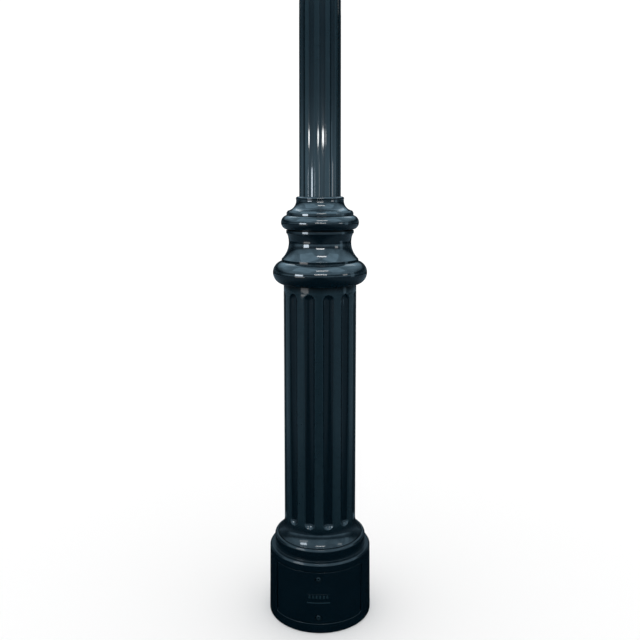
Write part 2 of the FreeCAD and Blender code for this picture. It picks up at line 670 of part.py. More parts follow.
def lower_collar():
    """The big torus and the scotia above it: it hangs over the column's neck and rests on its top face."""
    shaft = shaft_radius(COLUMN_TOP)
    bottom = COLUMN_TOP - COLLAR_OVERLAP
    bore = NECK_RADIUS + NECK_FIT
    cavity = FOOT_FLANGE_RADIUS + COLLAR_BOLT_ROOM
    lip = NECK_RADIUS + SCOTIA_LIP_REACH
    centre = (NECK_RADIUS + LOWER_TORUS_REACH - LOWER_TORUS_RADIUS, bottom + LOWER_TORUS_RADIUS)
    torus_foot = (bore, centre[1] - math.sqrt(LOWER_TORUS_RADIUS ** 2 - (bore - centre[0]) ** 2))
    torus_head = (lip, centre[1] + math.sqrt(LOWER_TORUS_RADIUS ** 2 - (lip - centre[0]) ** 2))
    lip_top = torus_head[1] + SCOTIA_LIP_HEIGHT
    seam = scotia_top_z() + SEAM_LIP_HEIGHT
    waist = (shaft + WAIST_REACH, lip_top + SCOTIA_HEIGHT * SCOTIA_WAIST_SHARE)
    scotia_head = (shaft + SCOTIA_TOP_REACH, scotia_top_z())
    seam_lip = shaft + SEAM_LIP_REACH
    spigot_bore = shaft + SPIGOT_SOCKET_REACH
    inner_waist = (waist[0] - COLLAR_SHELL, waist[1])
    inner_foot = (cavity, lip_top - COLLAR_SHELL)
    inner_head = (spigot_bore, seam - SPIGOT_DEPTH - COLLAR_SHELL)
    return turned([
        torus_foot,
        (arc_point(centre, LOWER_TORUS_RADIUS, 0), torus_head),
        (lip, lip_top - CASTING_EDGE),
        (lip - CASTING_EDGE, lip_top),
        (waist, scotia_head),
        (seam_lip - CASTING_EDGE, scotia_head[1]),
        (seam_lip, scotia_head[1] + CASTING_EDGE),
        (seam_lip, seam - CASTING_EDGE),
        (seam_lip - CASTING_EDGE, seam),
        (spigot_bore, seam),
        inner_head,
        (inner_waist, inner_foot),
        (cavity, COLUMN_TOP),
        (bore, COLUMN_TOP),
    ])


def scotia_top_z():
    """Height of the scotia's upper end."""
    lip = NECK_RADIUS + SCOTIA_LIP_REACH
    centre_r = NECK_RADIUS + LOWER_TORUS_REACH - LOWER_TORUS_RADIUS
    centre_z = COLUMN_TOP - COLLAR_OVERLAP + LOWER_TORUS_RADIUS
    torus_head = centre_z + math.sqrt(LOWER_TORUS_RADIUS ** 2 - (lip - centre_r) ** 2)
    return torus_head + SCOTIA_LIP_HEIGHT + SCOTIA_HEIGHT


def seam_z():
    """The joint between the two collar castings."""
    return scotia_top_z() + SEAM_LIP_HEIGHT


def collar_top_z():
    """Top face of the upper collar."""
    torus_top = seam_z() + SEAM_GROOVE_HEIGHT + 2 * (UPPER_TORUS_RADIUS - UPPER_TORUS_SINK)
    return torus_top + BELL_LIP_HEIGHT + BELL_HEIGHT + BEAD_HEIGHT


def upper_collar():
    """The small torus and the bell: its spigot drops into the lower collar, and its bead grips the shaft."""
    seam = seam_z()
    top = collar_top_z()
    shaft = shaft_radius(COLUMN_TOP)
    bore = shaft_radius(top - BEAD_HEIGHT) + SHAFT_FIT
    spigot = shaft + SPIGOT_SOCKET_REACH - SPIGOT_FIT
    groove = shaft + SEAM_GROOVE_REACH
    centre = (shaft + UPPER_TORUS_REACH, seam + SEAM_GROOVE_HEIGHT - UPPER_TORUS_SINK + UPPER_TORUS_RADIUS)
    torus_foot = arc_point(centre, UPPER_TORUS_RADIUS, UPPER_TORUS_START)
    bell_lip = shaft + BELL_LIP_REACH
    torus_end = bell_lip - CASTING_EDGE
    torus_head = (torus_end, centre[1] + math.sqrt(UPPER_TORUS_RADIUS ** 2 - (torus_end - centre[0]) ** 2))
    lip_foot = (bell_lip, torus_head[1] + CASTING_EDGE)
    lip_head = (bell_lip, torus_head[1] + BELL_LIP_HEIGHT)
    bell_foot = (shaft + BELL_FOOT_REACH, lip_head[1] + BELL_FOOT_RISE)
    bell_neck = (shaft + BELL_NECK_REACH, top - BEAD_HEIGHT)
    bead = (bell_neck[0] + BEAD_SWELL - BEAD_RADIUS, top - BEAD_RADIUS)
    spigot_bore = spigot - SPIGOT_WALL
    inner_bell = (spigot_bore, bell_foot[1] - COLLAR_SHELL)
    inner_neck = (bore, bell_neck[1] - BELL_NECK_REACH / 2)
    return turned([
        (spigot_bore, seam - SPIGOT_DEPTH),
        (spigot, seam - SPIGOT_DEPTH),
        (spigot, seam),
        (groove, seam),
        (groove, torus_foot[1]),
        torus_foot,
        (arc_point(centre, UPPER_TORUS_RADIUS, 0), torus_head),
        lip_foot,
        (hollow_arc(lip_foot, lip_head, -LIP_CROWN), lip_head),
        bell_foot,
        (bell_curve(bell_foot, bell_neck), bell_neck),
        arc_point(bead, BEAD_RADIUS, -35),
        (arc_point(bead, BEAD_RADIUS, 30), (bead[0], top)),
        (bore, top),
        inner_neck,
        (bell_curve(inner_bell, inner_neck), inner_bell),
    ])


def bell_curve(foot, neck):
    """The middle of a hollow curve that leaves the neck upright and runs out to the foot."""
    rise = neck[1] - foot[1]
    reach = foot[0] - neck[0]
    radius = (reach * reach + rise * rise) / (2 * reach)
    half_turn = math.atan2(rise, radius - reach) / 2
    return (neck[0] + radius * (1 - math.cos(half_turn)), neck[1] - radius * math.sin(half_turn))


def set_screws():
    """Two socket set screws in the upper collar's bead, at its back, each on a rib of the shaft."""
    z = collar_top_z() - BEAD_RADIUS
    tip = shaft_radius(z) + SET_SCREW_TIP_GAP
    tail = shaft_radius(COLUMN_TOP) + BELL_NECK_REACH - SET_SCREW_SUNK
    screw = rod(SET_SCREW_RADIUS, at(tip, z), at(tail, z))
    screw = screw.cut(hexagon(SET_SCREW_FLATS, at(tail - SET_SCREW_RADIUS, z), at(tail + CUT, z)))
    return around(screw, set_screw_angles())


def set_screw_angles():
    """Ribs of the shaft at the back, a quarter turn apart."""
    pitch = 360.0 / FLUTE_COUNT
    return (2 * pitch + SHAFT_TURN, 5 * pitch + SHAFT_TURN)


def upper_collar_drilled():
    """The upper collar with the tapped holes for its set screws."""
    z = collar_top_z() - BEAD_RADIUS
    reach = shaft_radius(COLUMN_TOP)
    hole = rod(SET_SCREW_RADIUS + THREAD_CLEARANCE, at(reach / 2, z), at(reach + 2 * BELL_NECK_REACH, z))
    return upper_collar().cut(around(hole, set_screw_angles()))


# Shaft and flanges


def fluted_wire(radius, z):
    """The shaft's section: ribs on the outer circle, and a hollow arc for each flute."""
    pitch = 360.0 / FLUTE_COUNT
    half = SHAFT_FLUTE_SPAN / 2
    depth = SHAFT_FLUTE_DEPTH * radius / (SHAFT_FOOT_DIAMETER / 2)

    def on_circle(size, degrees):
        angle = math.radians(degrees)
        return FreeCAD.Vector(size * math.cos(angle), size * math.sin(angle), z)

    edges = []
    for flute in [angle + SHAFT_TURN for angle in FLUTE_ANGLES]:
        left = on_circle(radius, flute - half)
        right = on_circle(radius, flute + half)
        following = on_circle(radius, flute + pitch - half)
        edges.append(Part.Arc(left, on_circle(radius - depth, flute), right).toShape())
        edges.append(Part.Arc(right, on_circle(radius, flute + pitch / 2), following).toShape())
    return Part.Wire(edges)


def main_shaft():
    """The fluted tapering tube."""
    foot = fluted_wire(shaft_radius(SHAFT_BOTTOM), SHAFT_BOTTOM)
    head = fluted_wire(shaft_radius(SHAFT_TOP), SHAFT_TOP)
    outer = Part.makeLoft([foot, head], True, True)
    bore = Part.makeCone(
        shaft_radius(SHAFT_BOTTOM) - SHAFT_WALL,
        shaft_radius(SHAFT_TOP) - SHAFT_WALL,
        SHAFT_TOP - SHAFT_BOTTOM,
        FreeCAD.Vector(0, 0, SHAFT_BOTTOM),
    )
    return outer.cut(bore)


def shaft_wire_radius():
    """Radius of the wire hole in the foot flange, clear inside the shaft's bore."""
    return SHAFT_FOOT_DIAMETER / 2 - SHAFT_WALL - WIRE_HOLE_INSET


def foot_flange():
    """The plate welded round the shaft's lower end and bolted to the column."""
    socket = shaft_radius(SHAFT_BOTTOM) + SOCKET_FIT
    plate = turned([
        (shaft_wire_radius(), COLUMN_TOP),
        (FOOT_FLANGE_RADIUS, COLUMN_TOP),
        (FOOT_FLANGE_RADIUS, FOOT_FLANGE_TOP),
        (socket, FOOT_FLANGE_TOP),
        (socket, SHAFT_BOTTOM),
        (shaft_wire_radius(), SHAFT_BOTTOM),
    ])
    hole = rod(
        FLANGE_BOLT_RADIUS + BOLT_CLEARANCE,
        FreeCAD.Vector(FLANGE_BOLT_RADIUS_AT, 0, COLUMN_TOP - CUT),
        FreeCAD.Vector(FLANGE_BOLT_RADIUS_AT, 0, FOOT_FLANGE_TOP + CUT),
    )
    return plate.cut(around(hole, evenly(FLANGE_BOLT_COUNT)))


def shaft_flange_bolts():
    """Bolts that hold the foot flange down on the column."""
    seat = FOOT_FLANGE_TOP + WASHER_THICKNESS
    grip = FOOT_FLANGE_THICKNESS + WASHER_THICKNESS + COLUMN_TOP_FLANGE - ROOT
    return around(hex_bolt(FLANGE_BOLT_RADIUS_AT, seat, grip, False), evenly(FLANGE_BOLT_COUNT))


def shaft_flange_washers():
    """Their washers."""
    return around(washer(FLANGE_BOLT_RADIUS_AT, FOOT_FLANGE_TOP), evenly(FLANGE_BOLT_COUNT))


def head_flange():
    """The plate at the top that a clock head bolts to, with a wire hole and a recess for its grommet."""
    radius = shaft_radius(SHAFT_TOP) + HEAD_FLANGE_MARGIN
    bottom = POST_HEIGHT - HEAD_FLANGE_THICKNESS
    socket = shaft_radius(bottom) + SOCKET_FIT
    recess = HEAD_WIRE_RADIUS + GROMMET_FLANGE + GROMMET_ROOM
    recess_floor = POST_HEIGHT - GROMMET_FLANGE_THICKNESS - GROMMET_RELIEF
    plate = turned([
        (socket, bottom),
        (radius - FLANGE_EDGE, bottom),
        (radius, bottom + FLANGE_EDGE),
        (radius, POST_HEIGHT - FLANGE_EDGE),
        (radius - FLANGE_EDGE, POST_HEIGHT),
        (recess, POST_HEIGHT),
        (recess, recess_floor),
        (HEAD_WIRE_RADIUS, recess_floor),
        (HEAD_WIRE_RADIUS, SHAFT_TOP),
        (socket, SHAFT_TOP),
    ])
    circle = shaft_radius(SHAFT_TOP) + HEAD_BOLT_OFFSET
    hole = rod(
        HEAD_HOLE_RADIUS,
        FreeCAD.Vector(circle, 0, bottom - CUT),
        FreeCAD.Vector(circle, 0, POST_HEIGHT + CUT),
    )
    return plate.cut(around(hole, evenly(HEAD_HOLE_COUNT, ANCHOR_TURN)))


def grommet(hole_radius, plate_low, plate_high):
    """A rubber bush with a flange on each side of the plate it lines."""
    bore = hole_radius - GROMMET_WALL
    flange = hole_radius + GROMMET_FLANGE
    thick = GROMMET_FLANGE_THICKNESS
    return turned([
        (bore, plate_low - thick),
        (flange, plate_low - thick),
        (flange, plate_low),
        (hole_radius, plate_low),
        (hole_radius, plate_high),
        (flange, plate_high),
        (flange, plate_high + thick),
        (bore, plate_high + thick),
    ])


def head_grommet():
    """The bush in the head flange, level with its top face."""
    return grommet(HEAD_WIRE_RADIUS, SHAFT_TOP, POST_HEIGHT - GROMMET_FLANGE_THICKNESS - GROMMET_RELIEF)


def foot_grommet():
    """The bush in the shaft's foot flange."""
    return grommet(shaft_wire_radius(), COLUMN_TOP, SHAFT_BOTTOM)


# Terminal box and what it holds


def box_shell(depth_low, depth_high, wall, open_front):
    """A moulded tray between two distances from the post's axis, open on one side."""
    low = BOX_BOTTOM
    high = BOX_BOTTOM + BOX_HEIGHT
    outer = rounded_prism(BOX_WIDTH, low, high, BOX_CORNER_RADIUS, depth_low, depth_high)
    front = depth_low - CUT if open_front else depth_low + wall
    back = depth_high - wall if open_front else depth_high + CUT
    corner = BOX_CORNER_RADIUS - wall
    inner = rounded_prism(BOX_WIDTH - 2 * wall, low + wall, high - wall, corner, front, back)
    return outer.cut(inner)


def hinge_axis(z):
    """A point on the lid hinge's axis."""
    return FreeCAD.Vector(-BOX_WIDTH / 2 - HINGE_OFFSET, BOX_FRONT - LID_GASKET / 2, z)


def knuckle(z_low, z_high, y_low, y_high):
    """A hinge barrel and the web that ties it to the box or the lid."""
    barrel = rod(HINGE_BARREL_RADIUS, hinge_axis(z_low), hinge_axis(z_high))
    web = block(
        FreeCAD.Vector(-BOX_WIDTH / 2 - HINGE_OFFSET, y_low, z_low),
        FreeCAD.Vector(-BOX_WIDTH / 2 + BOX_WALL / 2, y_high, z_high),
    )
    bore = rod(HINGE_PIN_RADIUS + HINGE_PIN_CLEARANCE, hinge_axis(z_low - CUT), hinge_axis(z_high + CUT))
    return barrel.fuse(web), bore


def knuckle_spans():
    """Heights of the box's two knuckles and of the lid's one between them."""
    half = BOX_HEIGHT / 6
    middle = (BOX_MIDDLE - half, BOX_MIDDLE + half)
    lower = (middle[0] - KNUCKLE_GAP - BOX_HEIGHT / 8, middle[0] - KNUCKLE_GAP)
    upper = (middle[1] + KNUCKLE_GAP, middle[1] + KNUCKLE_GAP + BOX_HEIGHT / 8)
    return lower, middle, upper


def terminal_box():
    """The box, with its hinge knuckles and the holes for the glands and its screws."""
    box = box_shell(BOX_FRONT, BOX_BACK, BOX_WALL, True)
    lower, _, upper = knuckle_spans()
    bores = []
    for span in (lower, upper):
        piece, bore = knuckle(span[0], span[1], BOX_FRONT, BOX_FRONT + HINGE_WEB)
        box = box.fuse(piece)
        bores.append(bore)
    for outer, inner in gland_lines(2 * BOX_WALL):
        bores.append(rod(GLAND_THREAD_RADIUS + GLAND_CLEARANCE, outer, inner))
    for point in box_screw_points():
        bores.append(screw_hole(point, Y * (2 * BOX_WALL)))
    return box.cut(bores)


def lid_gasket():
    """The seal on the box's rim."""
    low = BOX_BOTTOM
    high = BOX_BOTTOM + BOX_HEIGHT
    front = BOX_FRONT - LID_GASKET
    outer = rounded_prism(BOX_WIDTH, low, high, BOX_CORNER_RADIUS, front, BOX_FRONT)
    wall = BOX_WALL
    inner = rounded_prism(
        BOX_WIDTH - 2 * wall, low + wall, high - wall, BOX_CORNER_RADIUS - wall, front - CUT, BOX_FRONT + CUT
    )
    return outer.cut(inner)


def terminal_lid():
    """The hinged lid, with a finger tab at its free edge."""
    back = BOX_FRONT - LID_GASKET - LID_RELIEF
    lid = box_shell(back - LID_DEPTH, back, BOX_WALL, False)
    _, middle, _ = knuckle_spans()
    piece, bore = knuckle(middle[0], middle[1], back - HINGE_WEB, back)
    tab_reach, tab_thickness, tab_height = LID_TAB
    tab_low = FreeCAD.Vector(BOX_WIDTH / 2 - ROOT, back - LID_DEPTH, BOX_MIDDLE - tab_height / 2)
    tab = block(tab_low, tab_low + FreeCAD.Vector(ROOT + tab_reach, tab_thickness, tab_height))
    return lid.fuse([piece, tab]).cut(bore)


def hinge_pin():
    """The steel pin through the three knuckles."""
    lower, _, upper = knuckle_spans()
    return rod(HINGE_PIN_RADIUS, hinge_axis(lower[0] - PIN_PROUD), hinge_axis(upper[1] + PIN_PROUD))


def bracket_screw_points():
    """Where the bracket's foot is screwed to the floor."""
    y = BOX_BACK + BRACKET_FOOT / 2 + BRACKET_THICKNESS / 2
    return [FreeCAD.Vector(x, y, ANCHOR_FLANGE_THICKNESS) for x in (-BRACKET_WIDTH / 4, BRACKET_WIDTH / 4)]


def box_screw_points():
    """Where the box is screwed to the bracket, on the inner face of its back."""
    heights = (BOX_BOTTOM + BOX_SCREW_INSET, BOX_BOTTOM + BOX_HEIGHT - BOX_SCREW_INSET)
    return [FreeCAD.Vector(0, BOX_BACK - BOX_WALL, z) for z in heights]


def lug_screw_point():
    """Where the earth lug is screwed to the floor."""
    return FreeCAD.Vector(LUG_PLACE[0] - LUG_BLOCK[0] / 4, LUG_PLACE[1], ANCHOR_FLANGE_THICKNESS)


def screw_hole(point, along):
    """A plain hole for a small screw, from just before a point."""
    unit = FreeCAD.Vector(along).normalize()
    return rod(SMALL_SCREW_RADIUS + SMALL_SCREW_CLEARANCE, point - unit, point + along)


def small_screw(seat, into, grip):
    """A pan-head screw with a cross recess; its head's bearing face is at seat."""
    unit = FreeCAD.Vector(into).normalize()
    crown = seat - unit * SMALL_SCREW_HEAD
    screw = rod(SMALL_SCREW_HEAD_RADIUS, crown, seat)
    screw = screw.fuse(rod(SMALL_SCREW_RADIUS, seat - unit * ROOT, seat + unit * grip))
    side = X
    other = unit.cross(side)
    half = CROSS_WIDTH / 2
    reach = SMALL_SCREW_RADIUS
    for along, across in ((side, other), (other, side)):
        corners = []
        for a, b in ((-1, -1), (1, -1), (1, 1), (-1, 1), (-1, -1)):
            corners.append(crown + along * (reach * a) + across * (half * b) - unit * CUT)
        screw = screw.cut(Part.Face(Part.makePolygon(corners)).extrude(unit * (CUT + CROSS_DEPTH)))
    return screw


def terminal_bracket():
    """An upright steel strap with a foot on the floor, which carries the terminal box."""
    half = BRACKET_WIDTH / 2
    floor = ANCHOR_FLANGE_THICKNESS
    top = BOX_BOTTOM + BOX_HEIGHT
    upright = block(
        FreeCAD.Vector(-half, BOX_BACK, floor), FreeCAD.Vector(half, BOX_BACK + BRACKET_THICKNESS, top)
    )
    foot_low = FreeCAD.Vector(-half, BOX_BACK, floor)
    foot = block(foot_low, foot_low + FreeCAD.Vector(BRACKET_WIDTH, BRACKET_FOOT, BRACKET_THICKNESS))
    holes = [screw_hole(point, Z * BRACKET_THICKNESS * 2) for point in bracket_screw_points()]
    holes += [screw_hole(point, Y * (BOX_WALL + BRACKET_THICKNESS + CUT)) for point in box_screw_points()]
    return upright.fuse(foot).cut(holes)


def bracket_screws():
    """Screws through the bracket's foot into the floor."""
    lift = Z * BRACKET_THICKNESS
    grip = BRACKET_THICKNESS + SMALL_SCREW_BITE
    return [small_screw(point + lift, -Z, grip) for point in bracket_screw_points()]


def box_screws():
    """Screws through the box's back into the bracket."""
    return [small_screw(point, Y, BOX_WALL + 2 * BRACKET_THICKNESS) for point in box_screw_points()]


def din_rail():
    """A hat-section rail on the box's back."""
    back = BOX_BACK - BOX_WALL
    half = RAIL_LENGTH / 2
    web = RAIL_WEB / 2
    edge = RAIL_WIDTH / 2
    sheet = RAIL_SHEET
    outline = [
        (back, -web), (back, web), (RAIL_FACE + sheet, web), (RAIL_FACE + sheet, edge), (RAIL_FACE, edge),
        (RAIL_FACE, web - sheet), (back - sheet, web - sheet), (back - sheet, -web + sheet),
        (RAIL_FACE, -web + sheet), (RAIL_FACE, -edge), (RAIL_FACE + sheet, -edge), (RAIL_FACE + sheet, -web),
        (back, -web),
    ]
    points = [FreeCAD.Vector(-half, y, BOX_MIDDLE + z) for y, z in outline]
    return Part.Face(Part.makePolygon(points)).extrude(X * RAIL_LENGTH)


def toggle_axis():
    """Middle of the breaker toggle's axis."""
    nose_face = RAIL_FACE - BREAKER_BODY - BREAKER_NOSE
    return FreeCAD.Vector(BREAKER_OFFSET, nose_face + TOGGLE_RADIUS - TOGGLE_PROUD, BOX_MIDDLE)


def breaker_body():
    """A two-pole breaker clipped to the rail, with a slot for its toggle."""
    half = BREAKER_WIDTH / 2
    front = RAIL_FACE - BREAKER_BODY
    body = block(
        FreeCAD.Vector(BREAKER_OFFSET - half, front, BOX_MIDDLE - BREAKER_HEIGHT / 2),
        FreeCAD.Vector(BREAKER_OFFSET + half, RAIL_FACE, BOX_MIDDLE + BREAKER_HEIGHT / 2),
    )
    nose = block(
        FreeCAD.Vector(BREAKER_OFFSET - half, front - BREAKER_NOSE, BOX_MIDDLE - BREAKER_NOSE_HEIGHT / 2),
        FreeCAD.Vector(BREAKER_OFFSET + half, front + ROOT, BOX_MIDDLE + BREAKER_NOSE_HEIGHT / 2),
    )
    wells = []
    for x in (-half / 2, half / 2):
        for z in (-1, 1):
            mouth = BOX_MIDDLE + z * (BREAKER_HEIGHT / 2 - WELL_INSET)
            well = FreeCAD.Vector(BREAKER_OFFSET + x, front - CUT, mouth)
            wells.append(rod(WIRE_WELL_RADIUS, well, well + Y * WIRE_WELL_DEPTH))
    return body.fuse(nose).cut(toggle_slot() + wells)


def toggle_slot():
    """The round well that the toggle turns in, and the fan that its lever sweeps at the nose's face."""
    axis = toggle_axis()
    half = BREAKER_WIDTH / 4 + TOGGLE_CLEARANCE
    well = rod(TOGGLE_RADIUS + TOGGLE_CLEARANCE, axis - X * half, axis + X * half)
    depth = TOGGLE_RADIUS - TOGGLE_PROUD + CUT
    reach = depth * math.tan(math.radians(TOGGLE_TILT)) + TOGGLE_LEVER
    corners = [
        axis + FreeCAD.Vector(-half, 0, TOGGLE_LEVER),
        axis + FreeCAD.Vector(-half, -depth, reach),
        axis + FreeCAD.Vector(-half, -depth, -reach),
        axis + FreeCAD.Vector(-half, 0, -TOGGLE_LEVER),
    ]
    fan = Part.Face(Part.makePolygon(corners + corners[:1])).extrude(X * (2 * half))
    return [well, fan]


def breaker_toggle():
    """The breaker's toggle, tilted up in its ON position, on its own axis."""
    half = BREAKER_WIDTH / 4
    axis = toggle_axis()
    drum = rod(TOGGLE_RADIUS, axis - X * half, axis + X * half)
    lever = block(
        axis + FreeCAD.Vector(-half, -TOGGLE_RADIUS - TOGGLE_REACH, -TOGGLE_LEVER / 2),
        axis + FreeCAD.Vector(half, 0, TOGGLE_LEVER / 2),
    )
    lever.rotate(axis, X, -TOGGLE_TILT)
    return drum.fuse(lever)


def terminal_blocks():
    """Feed-through terminals beside the breaker, each with two wire wells and two screw wells."""
    blocks = []
    front = RAIL_FACE - TERMINAL_DEPTH
    half_height = TERMINAL_HEIGHT / 2
    for i in range(TERMINAL_COUNT):
        x = TERMINAL_OFFSET + i * TERMINAL_WIDTH
        piece = block(
            FreeCAD.Vector(x + TERMINAL_GAP / 2, front, BOX_MIDDLE - half_height),
            FreeCAD.Vector(x + TERMINAL_WIDTH - TERMINAL_GAP / 2, RAIL_FACE, BOX_MIDDLE + half_height),
        )
        middle = x + TERMINAL_WIDTH / 2
        for way in (-1, 1):
            end = FreeCAD.Vector(middle, front + TERMINAL_DEPTH * 0.3, BOX_MIDDLE + way * (half_height + CUT))
            piece = piece.cut(rod(WIRE_WELL_RADIUS, end, end - Z * (way * 2 * WIRE_WELL_DEPTH)))
            top = FreeCAD.Vector(middle, front - CUT, BOX_MIDDLE + way * (half_height - WELL_INSET))
            piece = piece.cut(rod(WIRE_WELL_RADIUS, top, top + Y * WIRE_WELL_DEPTH))
        blocks.append(piece)
    return blocks


def gland_lines(reach):
    """The three cable entries, as pairs of points through the wall: two below and one above."""
    y = (BOX_FRONT + BOX_BACK) / 2
    lines = []
    for x, way in ((-GLAND_SPREAD, -1), (GLAND_SPREAD, -1), (GLAND_SPREAD, 1)):
        z = BOX_BOTTOM if way < 0 else BOX_BOTTOM + BOX_HEIGHT
        wall = FreeCAD.Vector(x, y, z)
        lines.append((wall + Z * (way * reach), wall - Z * (way * reach)))
    return lines


def cable_glands():
    """Nylon glands: a hexagon outside, a thread through the wall and a bore for the cable."""
    glands = []
    half = GLAND_LENGTH / 2
    for outer, inner in gland_lines(GLAND_LENGTH):
        way = (outer - inner).normalize()
        wall = (outer + inner) / 2
        body = hexagon(GLAND_FLATS, wall, wall + way * half)
        dome = Part.makeCone(GLAND_FLATS * 0.46, GLAND_FLATS * 0.32, half, wall + way * half, way)
        thread_length = BOX_WALL + LOCKNUT_THICKNESS + THREAD_PROUD
        thread = rod(GLAND_THREAD_RADIUS, wall + way * ROOT, wall - way * thread_length)
        bore = rod(GLAND_BORE_RADIUS, outer + way * CUT, inner)
        glands.append(body.fuse([dome, thread]).cut(bore))
    return glands


def gland_locknuts():
    """A nut inside the wall for each gland."""
    nuts = []
    for outer, inner in gland_lines(GLAND_LENGTH):
        way = (outer - inner).normalize()
        face = (outer + inner) / 2 - way * BOX_WALL
        nut = hexagon(GLAND_FLATS, face, face - way * LOCKNUT_THICKNESS)
        end = face - way * (2 * LOCKNUT_THICKNESS)
        bore = rod(GLAND_THREAD_RADIUS + GLAND_CLEARANCE / 2, face + way * CUT, end)
        nuts.append(nut.cut(bore))
    return nuts


def earth_lug():
    """A brass block on the floor, with a hole for the earth wire and a tapped hole for its clamp screw."""
    length, width, height = LUG_BLOCK
    x, y = LUG_PLACE
    low = FreeCAD.Vector(x - length / 2, y - width / 2, ANCHOR_FLANGE_THICKNESS)
    tread = block(low, low + FreeCAD.Vector(length / 2, width, height * LUG_TREAD_SHARE))
    tower = block(low + X * (length / 2), low + FreeCAD.Vector(length, width, height))
    wire = low + FreeCAD.Vector(length * 3 / 4, -CUT, height * 0.45)
    clamp = low + FreeCAD.Vector(length * 3 / 4, width / 2, height + CUT)
    lug = tread.fuse(tower).cut(rod(LUG_WIRE_RADIUS, wire, wire + Y * (width + 2 * CUT)))
    lug = lug.cut(rod(SMALL_SCREW_RADIUS + SMALL_SCREW_CLEARANCE, clamp, clamp - Z * (height / 2)))
    return lug.cut(screw_hole(lug_screw_point(), Z * height))


def earth_lug_screws():
    """The lug's fixing screw and its clamp screw."""
    length, _, height = LUG_BLOCK
    clamp = FreeCAD.Vector(LUG_PLACE[0] + length / 4, LUG_PLACE[1], ANCHOR_FLANGE_THICKNESS + height)
    tread = height * LUG_TREAD_SHARE
    fixing = small_screw(lug_screw_point() + Z * tread, -Z, tread + SMALL_SCREW_BITE)
    return [fixing, small_screw(clamp, -Z, height / 3)]


PARTS = {
    "base_casting": base_casting,
    "access_door": access_door,
    "door_gasket": door_gasket,
    "door_top_screw": lambda: door_screw("top"),
    "door_bottom_screw": lambda: door_screw("bottom"),
    "top_screw_retainer": lambda: screw_retainer("top"),
    "bottom_screw_retainer": lambda: screw_retainer("bottom"),
    "pedestal_column": pedestal_column,
    "pedestal_bolts": pedestal_bolts,
    "pedestal_washers": pedestal_washers,
    "lower_collar": lower_collar,
    "upper_collar": upper_collar_drilled,
    "collar_set_screws": set_screws,
    "main_shaft": main_shaft,
    "shaft_foot_flange": foot_flange,
    "shaft_flange_bolts": shaft_flange_bolts,
    "shaft_flange_washers": shaft_flange_washers,
    "shaft_foot_grommet": foot_grommet,
    "head_flange": head_flange,
    "head_grommet": head_grommet,
    "terminal_bracket": terminal_bracket,
    "bracket_screws": bracket_screws,
    "terminal_box": terminal_box,
    "box_screws": box_screws,
    "lid_gasket": lid_gasket,
    "terminal_lid": terminal_lid,
    "lid_hinge_pin": hinge_pin,
    "din_rail": din_rail,
    "breaker_body": breaker_body,
    "breaker_toggle": breaker_toggle,
    "terminal_blocks": terminal_blocks,
    "cable_glands": cable_glands,
    "gland_locknuts": gland_locknuts,
    "earth_lug": earth_lug,
    "earth_lug_screws": earth_lug_screws,
}


def save(node, made):
    """Writes a node's solids to its own STEP file and reports them."""
    shapes = made if isinstance(made, list) else [made]
    solids = [solid for shape in shapes for solid in shape.Solids]
    whole = Part.makeCompound(solids)
    whole.exportStep(os.path.join("parts", node + ".step"))
    state = "valid" if all(solid.isValid() for solid in solids) else "NOT VALID"
    print(f"{node}: {len(solids)} solids, {whole.Volume / 1000:.1f} cm3, {state}")


os.makedirs("parts", exist_ok=True)
for node, make in PARTS.items():
    save(node, make())
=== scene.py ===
"""Looks of the post of a street clock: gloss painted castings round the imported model. Lengths are in metres.

Directions round the post are angles in radians from the front, where the access door is, towards +X.
Every casting is made of closed surfaces: grids of points whose rows run along a profile and whose columns run
round the post, joined row to row. Openings are windows in those grids, with rims moved on to their outline.
"""
import math
import bmesh
import bpy
import numpy as np
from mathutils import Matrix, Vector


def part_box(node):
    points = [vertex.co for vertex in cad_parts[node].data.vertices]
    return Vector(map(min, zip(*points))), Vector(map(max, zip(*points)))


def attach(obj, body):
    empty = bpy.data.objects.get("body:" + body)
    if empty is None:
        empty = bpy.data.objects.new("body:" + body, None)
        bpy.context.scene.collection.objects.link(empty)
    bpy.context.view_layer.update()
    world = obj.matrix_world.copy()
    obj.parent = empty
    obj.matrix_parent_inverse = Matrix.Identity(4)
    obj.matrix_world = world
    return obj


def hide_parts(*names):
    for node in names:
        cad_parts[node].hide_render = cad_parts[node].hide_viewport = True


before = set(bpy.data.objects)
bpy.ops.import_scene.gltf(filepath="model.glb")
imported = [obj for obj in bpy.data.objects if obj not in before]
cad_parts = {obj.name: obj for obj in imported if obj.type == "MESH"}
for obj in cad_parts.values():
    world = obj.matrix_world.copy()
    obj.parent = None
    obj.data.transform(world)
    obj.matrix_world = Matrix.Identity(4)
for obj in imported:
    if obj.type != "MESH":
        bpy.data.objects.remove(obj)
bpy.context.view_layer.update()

DEGREE = math.pi / 180
SAME_PLACE = 1e-6  # points nearer than this are one point
TINY = 1e-9  # kept under a length that is divided by
SHARP_TURN = 35 * DEGREE

# Shared sizes of the castings
BASE_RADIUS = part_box("base_casting")[1][0]
STEP_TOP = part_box("base_casting")[1][2]
COLUMN_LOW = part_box("pedestal_column")[0][2]
COLUMN_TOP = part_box("pedestal_column")[1][2]
FLARE_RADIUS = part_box("pedestal_column")[1][0]
COLLAR_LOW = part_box("lower_collar")[0][2]
COLLAR_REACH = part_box("lower_collar")[1][0]
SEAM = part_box("lower_collar")[1][2]
UPPER_COLLAR_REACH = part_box("upper_collar")[1][0]
UPPER_COLLAR_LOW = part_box("upper_collar")[0][2]
UPPER_COLLAR_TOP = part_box("upper_collar")[1][2]
SHAFT_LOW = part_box("main_shaft")[0][2]
SHAFT_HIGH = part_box("main_shaft")[1][2]
SHAFT_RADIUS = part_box("main_shaft")[1][0]

